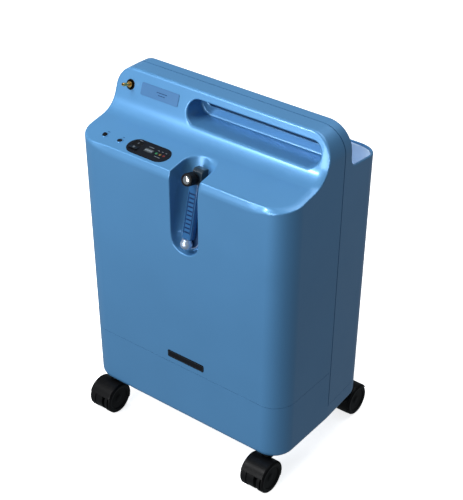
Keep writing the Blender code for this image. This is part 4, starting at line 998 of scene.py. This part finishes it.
# ---- camera, floor and light --------------------------------------------------------------------
azimuth, elevation = math.radians(37.63), math.radians(32.69)
camera = bpy.data.objects.new("camera", bpy.data.cameras.new("camera"))
bpy.context.scene.collection.objects.link(camera)
camera.data.lens = 95.08
camera.data.sensor_width = 36.0
camera.data.clip_start = 0.05
camera.data.clip_end = 50.0
back = Vector((math.sin(azimuth) * math.cos(elevation), -math.cos(azimuth) * math.cos(elevation),
               math.sin(elevation)))
right = Vector((math.cos(azimuth), math.sin(azimuth), 0.0))
up = back.cross(right)
turn = Matrix((right, up, back)).transposed().to_4x4()
roll = Matrix.Rotation(math.radians(0.22), 4, 'Z')
camera.matrix_world = shift(1.0594, -1.3667, 1.4229) @ turn @ roll
bpy.context.scene.camera = camera

floor_bm = bmesh.new()
bmesh.ops.create_grid(floor_bm, x_segments=8, y_segments=8, size=9.0)
floor = from_bm("floor", floor_bm, shift(0, 0, -0.0006))
floor_mat = surface("floor_pale", (0.93, 0.93, 0.94), 0.6, vary=0.01, patch=0.6, grain=60.0, bump=0.01)
floor_shader = floor_mat.node_tree.nodes["Principled BSDF"]
floor_shader.inputs["Emission Color"].default_value = (1, 1, 1, 1)
floor_shader.inputs["Emission Strength"].default_value = 0.78
floor.data.materials.append(floor_mat)
floor.visible_diffuse = False
floor.visible_glossy = False


def area_light(name, at, aim, size, power, colour=(1, 1, 1)):
    light = bpy.data.lights.new(name, 'AREA')
    light.shape = 'RECTANGLE'
    light.size, light.size_y = size
    light.energy = power
    light.color = colour
    obj = bpy.data.objects.new(name, light)
    bpy.context.scene.collection.objects.link(obj)
    obj.location = at
    obj.rotation_mode = 'QUATERNION'
    obj.rotation_quaternion = (Vector(aim) - Vector(at)).to_track_quat('-Z', 'Y')
    return obj


key = area_light("key", (-0.82, -0.72, 2.05), (0.04, 0, 0.42), (0.8, 0.8), 24.5)
key.visible_glossy = False
area_light("glint", (-0.56, -1.02, 1.38), (0.17, -0.05, 0.52), (0.14, 0.14), 10.5)
area_light("overhead", (0.30, 0.55, 2.20), (0, 0.05, 0.40), (1.2, 1.2), 15.0)
left = area_light("left", (-1.30, 0.16, 0.98), (0.17, 0.09, 0.50), (0.3, 0.3), 5.0)
left.visible_glossy = False
area_light("front", (-0.25, -2.2, 0.70), (0, 0, 0.28), (1.2, 0.9), 31.0)
world = bpy.data.worlds.new("studio")
world.use_nodes = True
world.node_tree.nodes["Background"].inputs["Color"].default_value = (0.86, 0.95, 1.0, 1.0)
world.node_tree.nodes["Background"].inputs["Strength"].default_value = 0.25
bpy.context.scene.world = world
bpy.context.scene.view_settings.view_transform = 'Standard'
